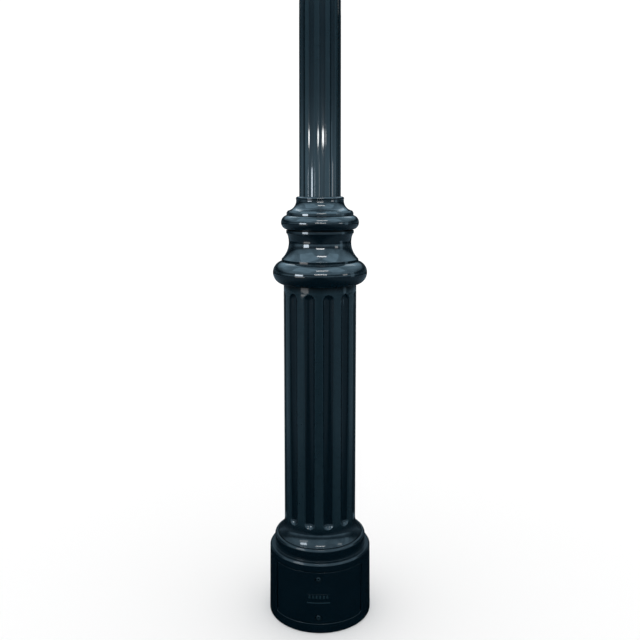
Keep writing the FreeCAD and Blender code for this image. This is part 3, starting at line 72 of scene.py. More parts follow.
DRUM_HEIGHT = 0.2835
SHOULDER = 0.275
DRUM_DRAFT = 0.004
DRUM_WALL = 0.012
DRUM_FILLET = 0.004  # inside, at the floor and at the ceiling
BASE_EDGE = 0.005
BEVEL_WIDTH = 0.0046  # of the shoulder's and the step's upper edges
BEVEL_ROUND = 0.0026
STEP_BEVEL_HEIGHT = 0.0080
STEP_RADIUS = 0.179
SEAT_RADIUS = FLARE_RADIUS + 0.0025
CEILING = DRUM_HEIGHT - DRUM_WALL
WIRE_OPENING = 0.105
FLOOR = 0.022
TOP_FLANGE = 0.020
ANCHOR_CIRCLE = 0.150
ANCHOR_HOLE = 0.0135
ANCHOR_WINDOW = 0.017  # half the square of the floor's grid that an anchor hole takes the place of

DOOR_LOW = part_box("access_door")[0][2]
DOOR_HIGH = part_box("access_door")[1][2]
DOOR_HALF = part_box("access_door")[1][0]
DOOR_GAP = 0.0025
DOOR_CORNER = 0.009
DOOR_THICKNESS = 0.008
DOOR_BOSS = 0.013
FRAME_FRONT = 0.010
FRAME_BACK = 0.018
FRAME_LIP = 0.012
COUNTERBORE = 0.0125
COUNTERBORE_DEPTH = 0.005
SCREW_HOLE = 0.00525
BOSS_BACK = 0.012
SCREW_HEIGHTS = [
    (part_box(node)[0][2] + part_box(node)[1][2]) / 2 for node in ("door_bottom_screw", "door_top_screw")
]
SCREW_WINDOW = 0.0148  # half the square of the door's grid that a screw hole takes the place of
LUG_HALF = 0.020
LUG_FRONT = 0.014
LUG_THICKNESS = 0.020
LUG_CORNER = 0.004
LUG_ARRIS = 0.0005
LUG_WINDOW = 0.009
GUSSET_HALF = 0.005
GUSSET_REACH = 0.045
GUSSET_HEIGHT = 0.090
ARRIS = 0.0020  # how far the doorway's painted edges are rounded
DOOR_ARRIS = 0.0007

RAISED = [  # on the door: half width, height, lift above the door's middle, rise, count and spread
    (0.044, 0.022, 0.0045, 0.0006, 1, 0.0),
    (0.044, 0.005, -0.0195, 0.0010, 1, 0.0),
    (0.0036, 0.012, 0.0045, 0.0012, 6, 0.034),
]
RAISED_ROOT = 0.001  # how far raised pieces reach into the door
RAISED_ARRIS = 0.0005

FLUTES = 12
NECK_RADIUS = 0.1368
COLUMN_FOOT_RADIUS = 0.1403
COLUMN_BORE = 0.114
COLUMN_FLANGE = 0.018
FLARE_LOW = COLUMN_LOW + 0.0115
FLARE_TOP = FLARE_LOW + 0.062
FLUTE_HALF = 0.02275
FLUTE_DEPTH = 0.013
FLUTE_ARRIS = 0.0016
FLUTE_FOOT_MARGIN = 0.001
FLUTE_NECK_MARGIN = 0.031
SHAFT_ROOM = 0.006  # between the shaft and the bore of the column's top flange
SHAFT_TOP_RADIUS = 0.0741
SHAFT_WALL = 0.008
SHAFT_FLUTE_SPAN = 18.7 * DEGREE
SHAFT_FLUTE_DEPTH = 0.0042
SHAFT_FLUTE_ARRIS = 0.0008
SHAFT_TURN = -7 * DEGREE  # between the shaft's flutes and the column's


# Surfaces


def stretch(stops, cells):
    """Numbers from stop to stop, with the given count of even cells between each pair."""
    runs = [np.linspace(a, b, n, endpoint=False) for a, b, n in zip(stops[:-1], stops[1:], cells)]
    return np.concatenate(runs + [stops[-1:]])


def around(radius, height, angle):
    """Points at a radius and a height on a turn about the post's axis: (r sin a, -r cos a, z)."""
    radius, height, angle = np.broadcast_arrays(radius, height, angle)
    return np.stack([radius * np.sin(angle), -radius * np.cos(angle), height], axis=-1)


def arc(centre, radius, start, end, count=20):
    """Points of a circle in the profile plane: centre + radius (cos a, sin a), for angles in degrees."""
    angle = np.radians(np.linspace(start, end, count))
    return np.stack([centre[0] + radius * np.cos(angle), centre[1] + radius * np.sin(angle)], axis=-1)


def outline(*parts, steps=6):
    """A profile through corners (radius, height, cut) and arcs. Each corner C gives way to the parabola
    (1-t)(1-t) A + 2t(1-t) C + t t B, from A, a cut before it, to B, a cut after it."""
    points = np.concatenate([np.atleast_2d(part)[:, :2] for part in parts])
    cuts = np.concatenate([[part[2]] if np.ndim(part) == 1 else np.zeros(len(part)) for part in parts])
    back = np.roll(points, 1, axis=0) - points
    ahead = np.roll(points, -1, axis=0) - points
    ends = []
    for side in (back, ahead):
        length = np.maximum(np.linalg.norm(side, axis=1), TINY)
        ends.append(points + side / length[:, None] * np.minimum(cuts, 0.48 * length)[:, None])
    t = np.linspace(0, 1, steps)[None, :, None]
    curve = (1 - t) ** 2 * ends[0][:, None] + 2 * t * (1 - t) * points[:, None] + t**2 * ends[1][:, None]
    curve = curve.reshape(-1, 2)
    gap = np.linalg.norm(curve - np.roll(curve, 1, axis=0), axis=1)
    return curve[gap > SAME_PLACE]


def ring(ids):
    """A grid of point numbers whose last column meets its first."""
    return np.concatenate([ids, ids[:, :1]], axis=1)


def rim(grid, window):
    """The entries on a window's edge, in order round it. A window is (low row, high row, left column,
    right column)."""
    low, high, left, right = window
    return np.concatenate([
        grid[low, left:right],
        grid[low:high, right],
        grid[high, right:left:-1],
        grid[high:low:-1, left],
    ])


def pierced(a, b, window, target, spread):
    """Moves a window's rim on to the outline that target gives for it. Each point round it follows the
    nearest point of the rim, by a share that falls evenly to nothing over spread cells."""
    rows, columns = np.indices(a.shape)
    near_row = np.clip(rows, window[0], window[1])
    near_column = np.clip(columns, window[2], window[3])
    near_a = a[near_row, near_column]
    near_b = b[near_row, near_column]
    goal_a, goal_b = target(near_a, near_b)
    away = np.maximum(abs(rows - near_row), abs(columns - near_column))
    share = np.clip(1 - away / spread, 0, 1)
    return a + share * (goal_a - near_a), b + share * (goal_b - near_b)


def solid_cells(shape, windows):
    """Which cells of a closed grid are kept: those that lie in no window."""
    keep = np.ones((shape[0] - 1, shape[1]), dtype=bool)
    for low, high, left, right in windows:
        keep[low:high, left:right] = False
    return keep


def round_corners(x, z, half_width, half_height, corner):
    """Maps a rectangle about the origin to one with round corners. In each corner's square, with p and q from
    0 to 1 along its sides and reach = max(p, q), a point goes to reach (cos a, sin a) at the angle
    a = 45 degrees (1 + (q - p) / reach)."""
    p = (abs(x) - half_width + corner) / corner
    q = (abs(z) - half_height + corner) / corner
    reach = np.maximum(np.maximum(p, q), TINY)
    angle = math.pi / 4 * (1 + (q - p) / reach)
    inside = (p > 0) & (q > 0)
    p_round = np.where(inside, reach * np.cos(angle), p)
    q_round = np.where(inside, reach * np.sin(angle), q)
    x_round = np.sign(x) * (half_width - corner + corner * p_round)
    z_round = np.sign(z) * (half_height - corner + corner * q_round)
    return x_round, z_round


class Shell:
    """The points and four-sided faces of one casting, collected block by block."""

    def __init__(self):
        self.points = []
        self.faces = []
        self.count = 0

    def add(self, points):
        """Stores an array of points and gives back their numbers in the same shape."""
        ids = np.arange(self.count, self.count + points.size // 3).reshape(points.shape[:-1])
        self.points.append(points.reshape(-1, 3))
        self.count += ids.size
        return ids

    def skin(self, ids, keep=None):
        """Faces between neighbouring rows and columns of a grid of point numbers."""
        faces = np.stack([ids[:-1, :-1], ids[:-1, 1:], ids[1:, 1:], ids[1:, :-1]], axis=-1)
        self.faces.append(faces[keep] if keep is not None else faces.reshape(-1, 4))

    def turned(self, profile, angles):
        """Point numbers of a profile's rows carried round the post."""
        return self.add(around(profile[:, :1], profile[:, 1:2], angles[None, :]))

    def piece(self, name, material, node, body="post"):
        """Makes the collected surface a finished casting that stands for a node."""
        mesh = bpy.data.meshes.new(name)
        mesh.from_pydata(np.concatenate(self.points), [], np.concatenate(self.faces))
        finished(name, mesh, material, body, [node], SHARP_TURN)


def linked(name, data):
    """A new object in the scene."""
    thing = bpy.data.objects.new(name, data)
    bpy.context.collection.objects.link(thing)
    return thing


def paint(mesh, material):
    """Leaves a mesh with one material."""
    mesh.materials.clear()
    mesh.materials.append(material)


def finished(name, mesh, material, body, nodes, sharp_turn):
    """Merges a mesh, drops unused points, turns its faces outwards and hands it over as a piece. Its edges
    are sharp where they turn by more than sharp_turn."""
    work = bmesh.new()
    work.from_mesh(mesh)
    bmesh.ops.remove_doubles(work, verts=work.verts, dist=SAME_PLACE)
    loose = [vertex for vertex in work.verts if not vertex.link_faces]
    bmesh.ops.delete(work, geom=loose, context="VERTS")
    bmesh.ops.recalc_face_normals(work, faces=work.faces)
    work.to_mesh(mesh)
    work.free()
    mesh.polygons.foreach_set("use_smooth", np.ones(len(mesh.polygons), dtype=bool))
    mesh.set_sharp_from_angle(angle=sharp_turn)
    piece = linked(name, mesh)
    paint(mesh, material)
    weighted = piece.modifiers.new("weighted_normals", "WEIGHTED_NORMAL")
    weighted.keep_sharp = True
    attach(piece, body)
    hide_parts(*nodes)
    return piece


# Materials


class Socket:
    """A number or colour inside a material. The operators on numbers add Math nodes."""

    def __init__(self, shade, output):
        self.shade = shade
        self.output = output

    def math(self, operation, *others):
        return self.shade.node("Math", {"operation": operation}, self, *others)

    def __add__(self, other):
        return self.math("ADD", other)

    def __mul__(self, other):
        return self.math("MULTIPLY", other)

    def __sub__(self, other):
        return self.math("SUBTRACT", other)

    def __rsub__(self, other):
        return self.shade.node("Math", {"operation": "SUBTRACT"}, other, self)

    __radd__ = __add__
    __rmul__ = __mul__

    def clamped(self):
        return self.shade.node("Clamp", {}, self)


class Shade:
    """A material under construction: one node method, and the patterns that the finishes share."""

    def __init__(self, name, **constants):
        self.material = bpy.data.materials.new(name)
        self.material.use_nodes = True
        self.tree = self.material.node_tree
        self.surface = self.tree.nodes["Principled BSDF"]
        self.place = self.node("TexCoord", {}, out="Object")
        for socket, value in constants.items():
            self.surface.inputs[socket.replace("_", " ")].default_value = value

    def node(self, kind, settings, *inputs, out=0, **named):
        """Adds a node, makes its settings, then fills its inputs with numbers, colours or links."""
        node = self.tree.nodes.new("ShaderNode" + kind)
        for name, value in settings.items():
            if name == "stops":
                self.stops(node.color_ramp, value)
            else:
                setattr(node, name, value)
        self.fill(node, enumerate(inputs))
        self.fill(node, ((name.replace("_", " "), value) for name, value in named.items()))
        return Socket(self, node.outputs[out])

    def fill(self, node, inputs):
        """Gives each named or numbered input of a node its link or its value."""
        for key, value in inputs:
            if isinstance(value, Socket):
                self.tree.links.new(value.output, node.inputs[key])
            else:
                node.inputs[key].default_value = value

    def stops(self, ramp, values):
        """Sets a ramp's stops from pairs of a position and a grey level or a colour."""
        while len(ramp.elements) < len(values):
            ramp.elements.new(0.5)
        for element, (position, colour) in zip(ramp.elements, values):
            element.position = position
            element.color = (*colour, 1) if np.ndim(colour) else (colour, colour, colour, 1)

    def part(self, axis):
        """One coordinate of the place."""
        return self.node("SeparateXYZ", {}, self.place, out=axis)

    def noise(self, scale, detail=3.0, roughness=0.5):
        """Soft noise from 0 to 1 in object space, with about scale bumps to a metre."""
        return self.node("TexNoise", {}, Vector=self.place, Scale=scale, Detail=detail, Roughness=roughness)

    def band(self, value, low, high):
        """0 below low, 1 above high and even between."""
        return self.node("MapRange", {}, value, low, high, 0.0, 1.0)

    def mix(self, share, first, second):
        """A colour between two, by share."""
        node = self.tree.nodes.new("ShaderNodeMix")
        node.data_type = "RGBA"
        ends = [end if isinstance(end, Socket) else (*end, 1) for end in (first, second)]
        self.fill(node, zip((0, 6, 7), (share, *ends)))
        return Socket(self, node.outputs[2])

    def bump(self, *layers):
        """Stacks bumps, each a height from 0 to 1 and its depth in metres, and returns the last normal."""
        normal = None
        for height, depth in layers:
            named = {"Height": height, "Distance": depth, "Strength": 1.0}
            if normal:
                named["Normal"] = normal
            normal = self.node("Bump", {}, **named)
        return normal

    def finish(self, **links):
        """Feeds the surface's sockets and returns the material."""
        for name, value in links.items():
            self.tree.links.new(value.output, self.surface.inputs[name.replace("_", " ")])
        return self.material


def facing_up(shade):
    """How far a surface faces the sky: the upward part of its normal, 0 to 1."""
    normal = shade.node("NewGeometry", {}, out="Normal")
    return shade.node("SeparateXYZ", {}, normal, out="Z").clamped()


DEEP_PAINT = (0.0003, 0.0044, 0.0080)
FULL_PAINT = (0.0006, 0.0054, 0.0096)
# painted sheen: a lighter colour for light catching the raised ribs, the door's pad and marks and the screws'
# faces, with the hollows left in shade
PAINTED_SHEEN_COLOUR = (0.0060, 0.0168, 0.0240)
DUST = (0.030, 0.044, 0.052)
# painted shade: near black for the shadow in the collars' seam and under the lower collar's torus
PAINTED_SHADE_COLOUR = (0.0002, 0.0005, 0.0007)


def from_axis(shade, taper):
    """Distance from the post's axis, plus taper metres for each metre of height."""
    flat = shade.node("VectorMath", {"operation": "MULTIPLY"}, shade.place, (1.0, 1.0, 0.0))
    distance = shade.node("VectorMath", {"operation": "LENGTH"}, flat, out="Value")
    height = shade.part("Z")
    return distance + height * taper


FAR_OUT = (9.0, 10.0)  # distances that nothing reaches
FAR_DOWN = (-9.0, -8.0)


def gloss_paint(name, wave_depth, peel_depth, raised=FAR_OUT, taper=0.0, sheen_share=1.0, shade_heights=FAR_DOWN,
                sheen_start=-1.0):
    """Deep blue-green gloss paint over a casting: slow waves of the casting under it, the fine peel of
    sprayed paint, patches a little duller than others, dust where the surface faces up, most of all near the
    ground, a painted sheen, a lighter colour for light catching whatever stands out past the raised distances
    from the axis above the height where the sheen starts, and a painted shade, near black and with the coat's
    gloss mostly taken away, for the shadow between the two shade heights."""
    shade = Shade(name, Coat_Roughness=0.07, Coat_IOR=1.5, IOR=1.45, Specular_IOR_Level=0.04)
    height = shade.part("Z")
    clouds = shade.noise(9.0, 4.0)
    smears = shade.noise(38.0, 5.0, 0.6)
    low_down = 1.0 - shade.band(height, 0.3, 0.7)
    dust = facing_up(shade) * shade.band(smears, 0.3, 0.75) * (0.15 + low_down * 0.15)
    # painted sheen: a lighter colour on whatever stands out, for light catching it
    painted_sheen = shade.band(from_axis(shade, taper), *raised) * (0.75 + shade.band(smears, 0.3, 0.7) * 0.25)
    painted_sheen = painted_sheen * shade.band(height, sheen_start, sheen_start + 0.03) * sheen_share
    # painted shade between two heights: near black, with the coat's gloss mostly taken away, for the shadow
    # under a torus
    soft = (shade_heights[1] - shade_heights[0]) * 0.3
    above = shade.band(height, shade_heights[0], shade_heights[0] + soft)
    painted_shade = above * (1.0 - shade.band(height, shade_heights[1] - soft, shade_heights[1]))
    paint = shade.mix(shade.band(clouds, 0.3, 0.7), DEEP_PAINT, FULL_PAINT)
    sheened = shade.mix(painted_sheen, paint, PAINTED_SHEEN_COLOUR)
    dusty = shade.mix(dust, sheened, DUST)
    colour = shade.mix(painted_shade, dusty, PAINTED_SHADE_COLOUR)
    roughness = 0.26 + shade.band(smears, 0.3, 0.8) * 0.10 + dust * 0.4
    coat = (1.0 - low_down * facing_up(shade) * 0.75) * (1.0 - painted_shade * 0.9)
    waves = shade.noise(14.0, 2.0)
    ripples = shade.noise(52.0, 2.0)
    peel = shade.noise(420.0, 2.0)
    normal = shade.bump((waves, wave_depth), (ripples, wave_depth * 0.3), (peel, peel_depth))
    return shade.finish(Base_Color=colour, Roughness=roughness, Coat_Weight=coat, Normal=normal)


def plated_steel(name, tint, roughness):
    """Plated steel: a faint cloudiness in its colour and fine scratches in its gloss."""
    shade = Shade(name, Metallic=1.0)
    clouds = shade.noise(60.0, 4.0)
    fine = shade.noise(1500.0, 2.0)
    dull = tuple(0.72 * part for part in tint)
    colour = shade.mix(shade.band(clouds, 0.35, 0.7), tint, dull)
    gloss = roughness + shade.band(fine, 0.3, 0.8) * 0.14 + shade.band(clouds, 0.4, 0.8) * 0.08
    return shade.finish(Base_Color=colour, Roughness=gloss, Normal=shade.bump((fine, 0.00001)))


def moulded(name, tint, roughness, grain_scale=1400.0, grain_depth=0.00003):
    """Moulded plastic, nylon or rubber: a fine even grain and a slight change of shade."""
    shade = Shade(name)
    clouds = shade.noise(35.0, 4.0)
    grain = shade.noise(grain_scale, 2.0)
    dull = tuple(0.90 * part for part in tint)
    colour = shade.mix(shade.band(clouds, 0.3, 0.75), tint, dull)
    gloss = roughness + shade.band(clouds, 0.3, 0.8) * 0.1
    return shade.finish(Base_Color=colour, Roughness=gloss, Normal=shade.bump((grain, grain_depth)))


CAST_WAVES = 0.00022  # depths of the painted surfaces' waves
DOOR_WAVES = 0.00016
SHAFT_WAVES = 0.00008
SCREW_WAVES = 0.00001
PEEL = 0.000006
SHAFT_PEEL = 0.000012
# the collars' seam gets a painted shade, for the shadow under the upper collar's torus
casting_paint = gloss_paint("casting_paint", CAST_WAVES, PEEL, shade_heights=(SEAM - 0.0035, SEAM + 0.0060))
# the column's ribs above the flare get a painted sheen, for light on them, and the flutes stay dark
neck_ribs = (NECK_RADIUS - 0.0032, NECK_RADIUS - 0.0012)
# the column's neck gets a painted shade, for the shadow under the lower collar's torus
shade_under_collar = (COLLAR_LOW - 0.0200, COLLAR_LOW + 0.0600)
column_paint = gloss_paint("column_paint", CAST_WAVES, PEEL, neck_ribs, shade_heights=shade_under_collar,
                           sheen_start=FLARE_TOP - 0.012)
# the shaft's ribs get a painted sheen, for light on them
shaft_taper = (SHAFT_RADIUS - SHAFT_TOP_RADIUS) / (SHAFT_HIGH - SHAFT_LOW)
shaft_rib = SHAFT_RADIUS + SHAFT_LOW * shaft_taper
shaft_ribs = (shaft_rib - 0.0016, shaft_rib - 0.0004)
shaft_paint = gloss_paint("shaft_paint", SHAFT_WAVES, SHAFT_PEEL, shaft_ribs, shaft_taper)
# the door's raised pad, rule and marks get a painted sheen at twice the share, for light catching their crowns
door_taper = DRUM_DRAFT / SHOULDER
door_raised = (BASE_RADIUS + 0.0007, BASE_RADIUS + 0.0010)
door_paint = gloss_paint("door_paint", DOOR_WAVES, PEEL, door_raised, door_taper, 2.0)
# the screws' faces get a painted sheen, for light on the heads in their counterbores
screw_face = -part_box("door_top_screw")[0][1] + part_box("door_top_screw")[0][2] * door_taper
screw_raised = (screw_face - 0.0025, screw_face - 0.0005)
screw_paint = gloss_paint("screw_paint", SCREW_WAVES, PEEL, screw_raised, door_taper)
zinc = plated_steel("zinc", (0.55, 0.56, 0.57), 0.30)
bright_steel = plated_steel("bright_steel", (0.46, 0.46, 0.47), 0.22)
brass = plated_steel("brass", (0.70, 0.47, 0.17), 0.26)
rubber = moulded("rubber", (0.018, 0.018, 0.019), 0.62)
box_plastic = moulded("box_plastic", (0.40, 0.41, 0.42), 0.42)
breaker_plastic = moulded("breaker_plastic", (0.62, 0.62, 0.60), 0.38)
toggle_plastic = moulded("toggle_plastic", (0.022, 0.023, 0.026), 0.30)
terminal_plastic = moulded("terminal_plastic", (0.30, 0.31, 0.33), 0.44)
nylon = moulded("nylon", (0.030, 0.030, 0.032), 0.40)


# Base casting


def drum(height):
    """Outer radius of the drum, which tapers evenly up to its shoulder."""
    return BASE_RADIUS - DRUM_DRAFT * height / SHOULDER


OPENING_HALF = DOOR_HALF + DOOR_GAP
OPENING_LOW = DOOR_LOW - DOOR_GAP
OPENING_HIGH = DOOR_HIGH + DOOR_GAP
OPENING_MIDDLE = (OPENING_LOW + OPENING_HIGH) / 2
OPENING_CORNER = DOOR_CORNER + DOOR_GAP
OPENING_EDGE = 54.3 * DEGREE
ANCHOR_SPREAD = 5.2 * DEGREE
HALF_STOPS = [0, 45 * DEGREE - ANCHOR_SPREAD, 45 * DEGREE + ANCHOR_SPREAD, OPENING_EDGE,
              135 * DEGREE - ANCHOR_SPREAD, 135 * DEGREE + ANCHOR_SPREAD, math.pi]
HALF_CELLS = [20, 8, 5, 38, 8, 18]
WALL_CELLS = [5, 6, 10, 6, 5]
FLOOR_CELLS = [4, 8, 5]


def base_angles():
    """Columns round the base: even stretches that keep a column on each side of the door and of each anchor
    hole."""
    half = stretch(HALF_STOPS, HALF_CELLS)
    return np.concatenate([-half[:0:-1], half[:-1]])


def column_at(angle):
    """Number of the base's column at one of its stops."""
    cells = [0] + list(np.cumsum(HALF_CELLS))
    number = cells[int(np.argmin(abs(np.array(HALF_STOPS) - abs(angle))))]
    return sum(HALF_CELLS) + (number if angle >= 0 else -number)


def doorway(angle, height, grow, depth):
    """The opening's outline, grown or shrunk all round, for rim points given by angle and height.
    Both are taken as shares of the opening's half sizes, and the corners are rounded."""
    half_height = (OPENING_HIGH - OPENING_LOW) / 2
    x = np.sin(angle) / math.sin(OPENING_EDGE) * (OPENING_HALF + grow)
    z = (height - OPENING_MIDDLE) / half_height * (half_height + grow)
    x, z = round_corners(x, z, OPENING_HALF + grow, half_height + grow, OPENING_CORNER)
    z = z + OPENING_MIDDLE
    return np.arcsin(x / (drum(z) - depth)), z


def round_hole(centre_angle, circle, radius, half_angle, half_reach):
    """Target of a square window that becomes a round hole: the direction from its centre is kept."""

    def target(angle, reach):
        across = (angle - centre_angle) / half_angle
        along = (reach - circle) / half_reach
        length = np.maximum(np.hypot(across, along), TINY)
        side = radius * across / length
        out = circle + radius * along / length
        return centre_angle + np.arctan2(side, out), np.hypot(side, out)

    return target


def base_casting():
    """The drum, its floor and top flange, the step ring and the door's frame, as one closed surface, with the
    door's lugs and the webs."""
    shell = Shell()
    angles = base_angles()
    opening_rows = [OPENING_LOW, OPENING_LOW + OPENING_CORNER, OPENING_HIGH - OPENING_CORNER, OPENING_HIGH]
    window = (WALL_CELLS[0], sum(WALL_CELLS[:-1]), column_at(-OPENING_EDGE), column_at(OPENING_EDGE))
    walls = []
    for low, high, grow, depth in ((BASE_EDGE, SHOULDER, ARRIS, 0.0),
                                   (FLOOR + DRUM_FILLET, CEILING - DRUM_FILLET, FRAME_LIP, DRUM_WALL)):
        rows = stretch([low] + opening_rows + [high], WALL_CELLS)
        height, angle = np.meshgrid(rows, angles, indexing="ij")
        edge = rim(np.stack([angle, height], axis=-1), window)
        angle, height = pierced(angle, height, window, lambda a, h: doorway(a, h, grow, depth), 5)
        ids = shell.add(around(drum(height) - depth, height, angle))
        shell.skin(ring(ids), solid_cells(ids.shape, [window]))
        walls.append((ids, edge))
    steps = [(0.44 * ARRIS, 0.11 * ARRIS), (0.11 * ARRIS, 0.44 * ARRIS), (0, ARRIS), (0, FRAME_FRONT),
             (ARRIS - FRAME_LIP, FRAME_FRONT), (-FRAME_LIP, FRAME_FRONT + ARRIS),
             (-FRAME_LIP, FRAME_BACK - ARRIS), (ARRIS - FRAME_LIP, FRAME_BACK),
             (FRAME_LIP - ARRIS, FRAME_BACK), (FRAME_LIP, FRAME_BACK - ARRIS)]
    loops = [rim(walls[0][0], window)]
    edge = walls[0][1]
    for grow, depth in steps:
        angle, height = doorway(edge[:, 0], edge[:, 1], grow, depth)
        loops.append(shell.add(around(drum(height) - depth, height, angle)))
    loops.append(rim(walls[1][0], window))
    shell.skin(ring(np.stack(loops)))
    base_top(shell, angles, walls[0][0][-1], walls[1][0][-1])
    base_floor(shell, angles, walls[0][0][0], walls[1][0][0])
    door_lugs(shell)
    gussets(shell)
    shell.piece("base_drum", casting_paint, "base_casting")


def base_top(shell, angles, outer_row, inner_row):
    """Shoulder, step ring, seat, top flange and ceiling: the rows between the outer and the inner wall."""
    flange_low = COLUMN_LOW - TOP_FLANGE
    inner = drum(DRUM_HEIGHT) - DRUM_WALL
    outer = drum(SHOULDER)
    profile = outline(
        (outer, SHOULDER, 0),
        (outer - 0.0002, SHOULDER + 0.0010, 0.0010),
        (outer - BEVEL_WIDTH, DRUM_HEIGHT, BEVEL_ROUND),
        (STEP_RADIUS, DRUM_HEIGHT, 0.0015),
        (STEP_RADIUS, STEP_TOP - STEP_BEVEL_HEIGHT, 0.0022),
        (STEP_RADIUS - BEVEL_WIDTH, STEP_TOP, BEVEL_ROUND),
        (SEAT_RADIUS, STEP_TOP, 0.0012),
        (SEAT_RADIUS, COLUMN_LOW, 0.0006),
        (WIRE_OPENING, COLUMN_LOW, 0.0012),
        (WIRE_OPENING, flange_low, 0.0012),
        (SEAT_RADIUS, flange_low, 0.0040),
        (SEAT_RADIUS, CEILING, 0.0030),
        (inner, CEILING, DRUM_FILLET),
        (inner, CEILING - DRUM_FILLET, 0),
    )
    middle = shell.turned(profile[1:-1], angles)
    shell.skin(ring(np.concatenate([outer_row[None], middle, inner_row[None]])))


def base_floor(shell, angles, outer_row, inner_row):
    """The rounded foot, the underside and the floor, with the anchor holes through both."""
    edge = 0.001
    outermost = BASE_RADIUS - BASE_EDGE
    fillet_centre = (drum(FLOOR) - DRUM_WALL - DRUM_FILLET, FLOOR + DRUM_FILLET)
    hole_rows = [ANCHOR_CIRCLE + ANCHOR_WINDOW, ANCHOR_CIRCLE - ANCHOR_WINDOW]
    first, last = FLOOR_CELLS[0], sum(FLOOR_CELLS[:2])
    targets = []
    windows = []
    for turn in (-135, -45, 45, 135):
        middle = turn * DEGREE
        sides = [math.copysign(abs(middle) + side, middle) for side in (-ANCHOR_SPREAD, ANCHOR_SPREAD)]
        windows.append((first, last, *sorted(column_at(side) for side in sides)))
        targets.append(round_hole(middle, ANCHOR_CIRCLE, ANCHOR_HOLE, ANCHOR_SPREAD, ANCHOR_WINDOW))
    faces = []
    for height, outermost_reach in ((0.0, outermost), (FLOOR, fillet_centre[0])):
        reaches = stretch([outermost_reach] + hole_rows + [WIRE_OPENING + edge], FLOOR_CELLS)
        reach, angle = np.meshgrid(reaches, angles, indexing="ij")
        for window, target in zip(windows, targets):
            angle, reach = pierced(angle, reach, window, target, 3)
        ids = shell.add(around(reach, height, angle))
        shell.skin(ring(ids), solid_cells(ids.shape, windows))
        faces.append(ids)
    for window in windows:
        shell.skin(ring(np.stack([rim(ids, window) for ids in faces])))
    foot = arc((outermost, BASE_EDGE), BASE_EDGE, 0, -90, 8)
    bore = outline((WIRE_OPENING + edge, 0, 0), (WIRE_OPENING, edge, edge / 2),
                   (WIRE_OPENING, FLOOR - edge, edge / 2), (WIRE_OPENING + edge, FLOOR, 0))
    fillet = arc(fillet_centre, DRUM_FILLET, -90, 0, 6)
    for start, profile, end in ((outer_row, foot, faces[0][0]), (faces[0][-1], bore, faces[1][-1]),
                                (faces[1][0], fillet, inner_row)):
        shell.skin(ring(np.concatenate([start[None], shell.turned(profile[1:-1], angles), end[None]])))


def gussets(shell):
    """Three upright webs between the floor and the drum's wall, at both sides and at the back."""
    wall = BASE_RADIUS - DRUM_WALL
    corners = np.array([
        (wall + DRUM_WALL / 2, FLOOR - 0.001),
        (wall - GUSSET_REACH, FLOOR - 0.001),
        (wall - GUSSET_REACH, FLOOR + GUSSET_HALF),
        (wall + DRUM_WALL / 2, FLOOR + GUSSET_HEIGHT),
    ])
    for angle in (math.pi / 2, math.pi, -math.pi / 2):
        middle = around(corners[:, 0], corners[:, 1], angle)
        across = np.array([math.cos(angle), math.sin(angle), 0]) * GUSSET_HALF
        ids = shell.add(np.stack([middle - across, middle + across]))
        shell.skin(ring(ids))
        shell.faces.append(ids)


def door_lugs(shell):
    """The two lugs behind the door's bosses that its screws go into, each tied to the frame at one edge."""
    spans = [(DOOR_LOW, SCREW_HEIGHTS[0] + LUG_HALF), (SCREW_HEIGHTS[1] - LUG_HALF, DOOR_HIGH)]
    cells = [2, 2, 8, 2, 2]
    window = (sum(cells[:2]), sum(cells[:3])) * 2
    wide = LUG_WINDOW / LUG_HALF
    for height, (low, high) in zip(SCREW_HEIGHTS, spans):
        half_height = (high - low) / 2
        centre = (height - low) / half_height - 1
        tall = LUG_WINDOW / half_height
        columns = stretch([-1, -0.8, -wide, wide, 0.8, 1], cells)
        rows = stretch([-1, -0.8, centre - tall, centre + tall, 0.8, 1], cells)
        edge = plate_hole(height, SCREW_HOLE, LUG_WINDOW, LUG_HALF, low, high)
        curved_plate(shell, LUG_HALF, low, high, LUG_CORNER, LUG_FRONT, LUG_THICKNESS, columns, rows,
                     [(window, edge, edge, [])], crown=LUG_ARRIS)


# Access door


def plate_hole(height, radius, reach, half_width, low, high):
    """Target of a square window in a curved plate, reach from its middle to each side, that becomes a round
    hole: the direction from the hole's centre is kept. Positions are shares of the plate's half sizes."""
    half_height = (high - low) / 2
    centre = (height - low) / half_height - 1

    def target(s, t):
        p = s * half_width / reach
        q = (t - centre) * half_height / reach
        length = np.maximum(np.hypot(p, q), TINY)
        return radius * p / length / half_width, centre + radius * q / length / half_height

    return target


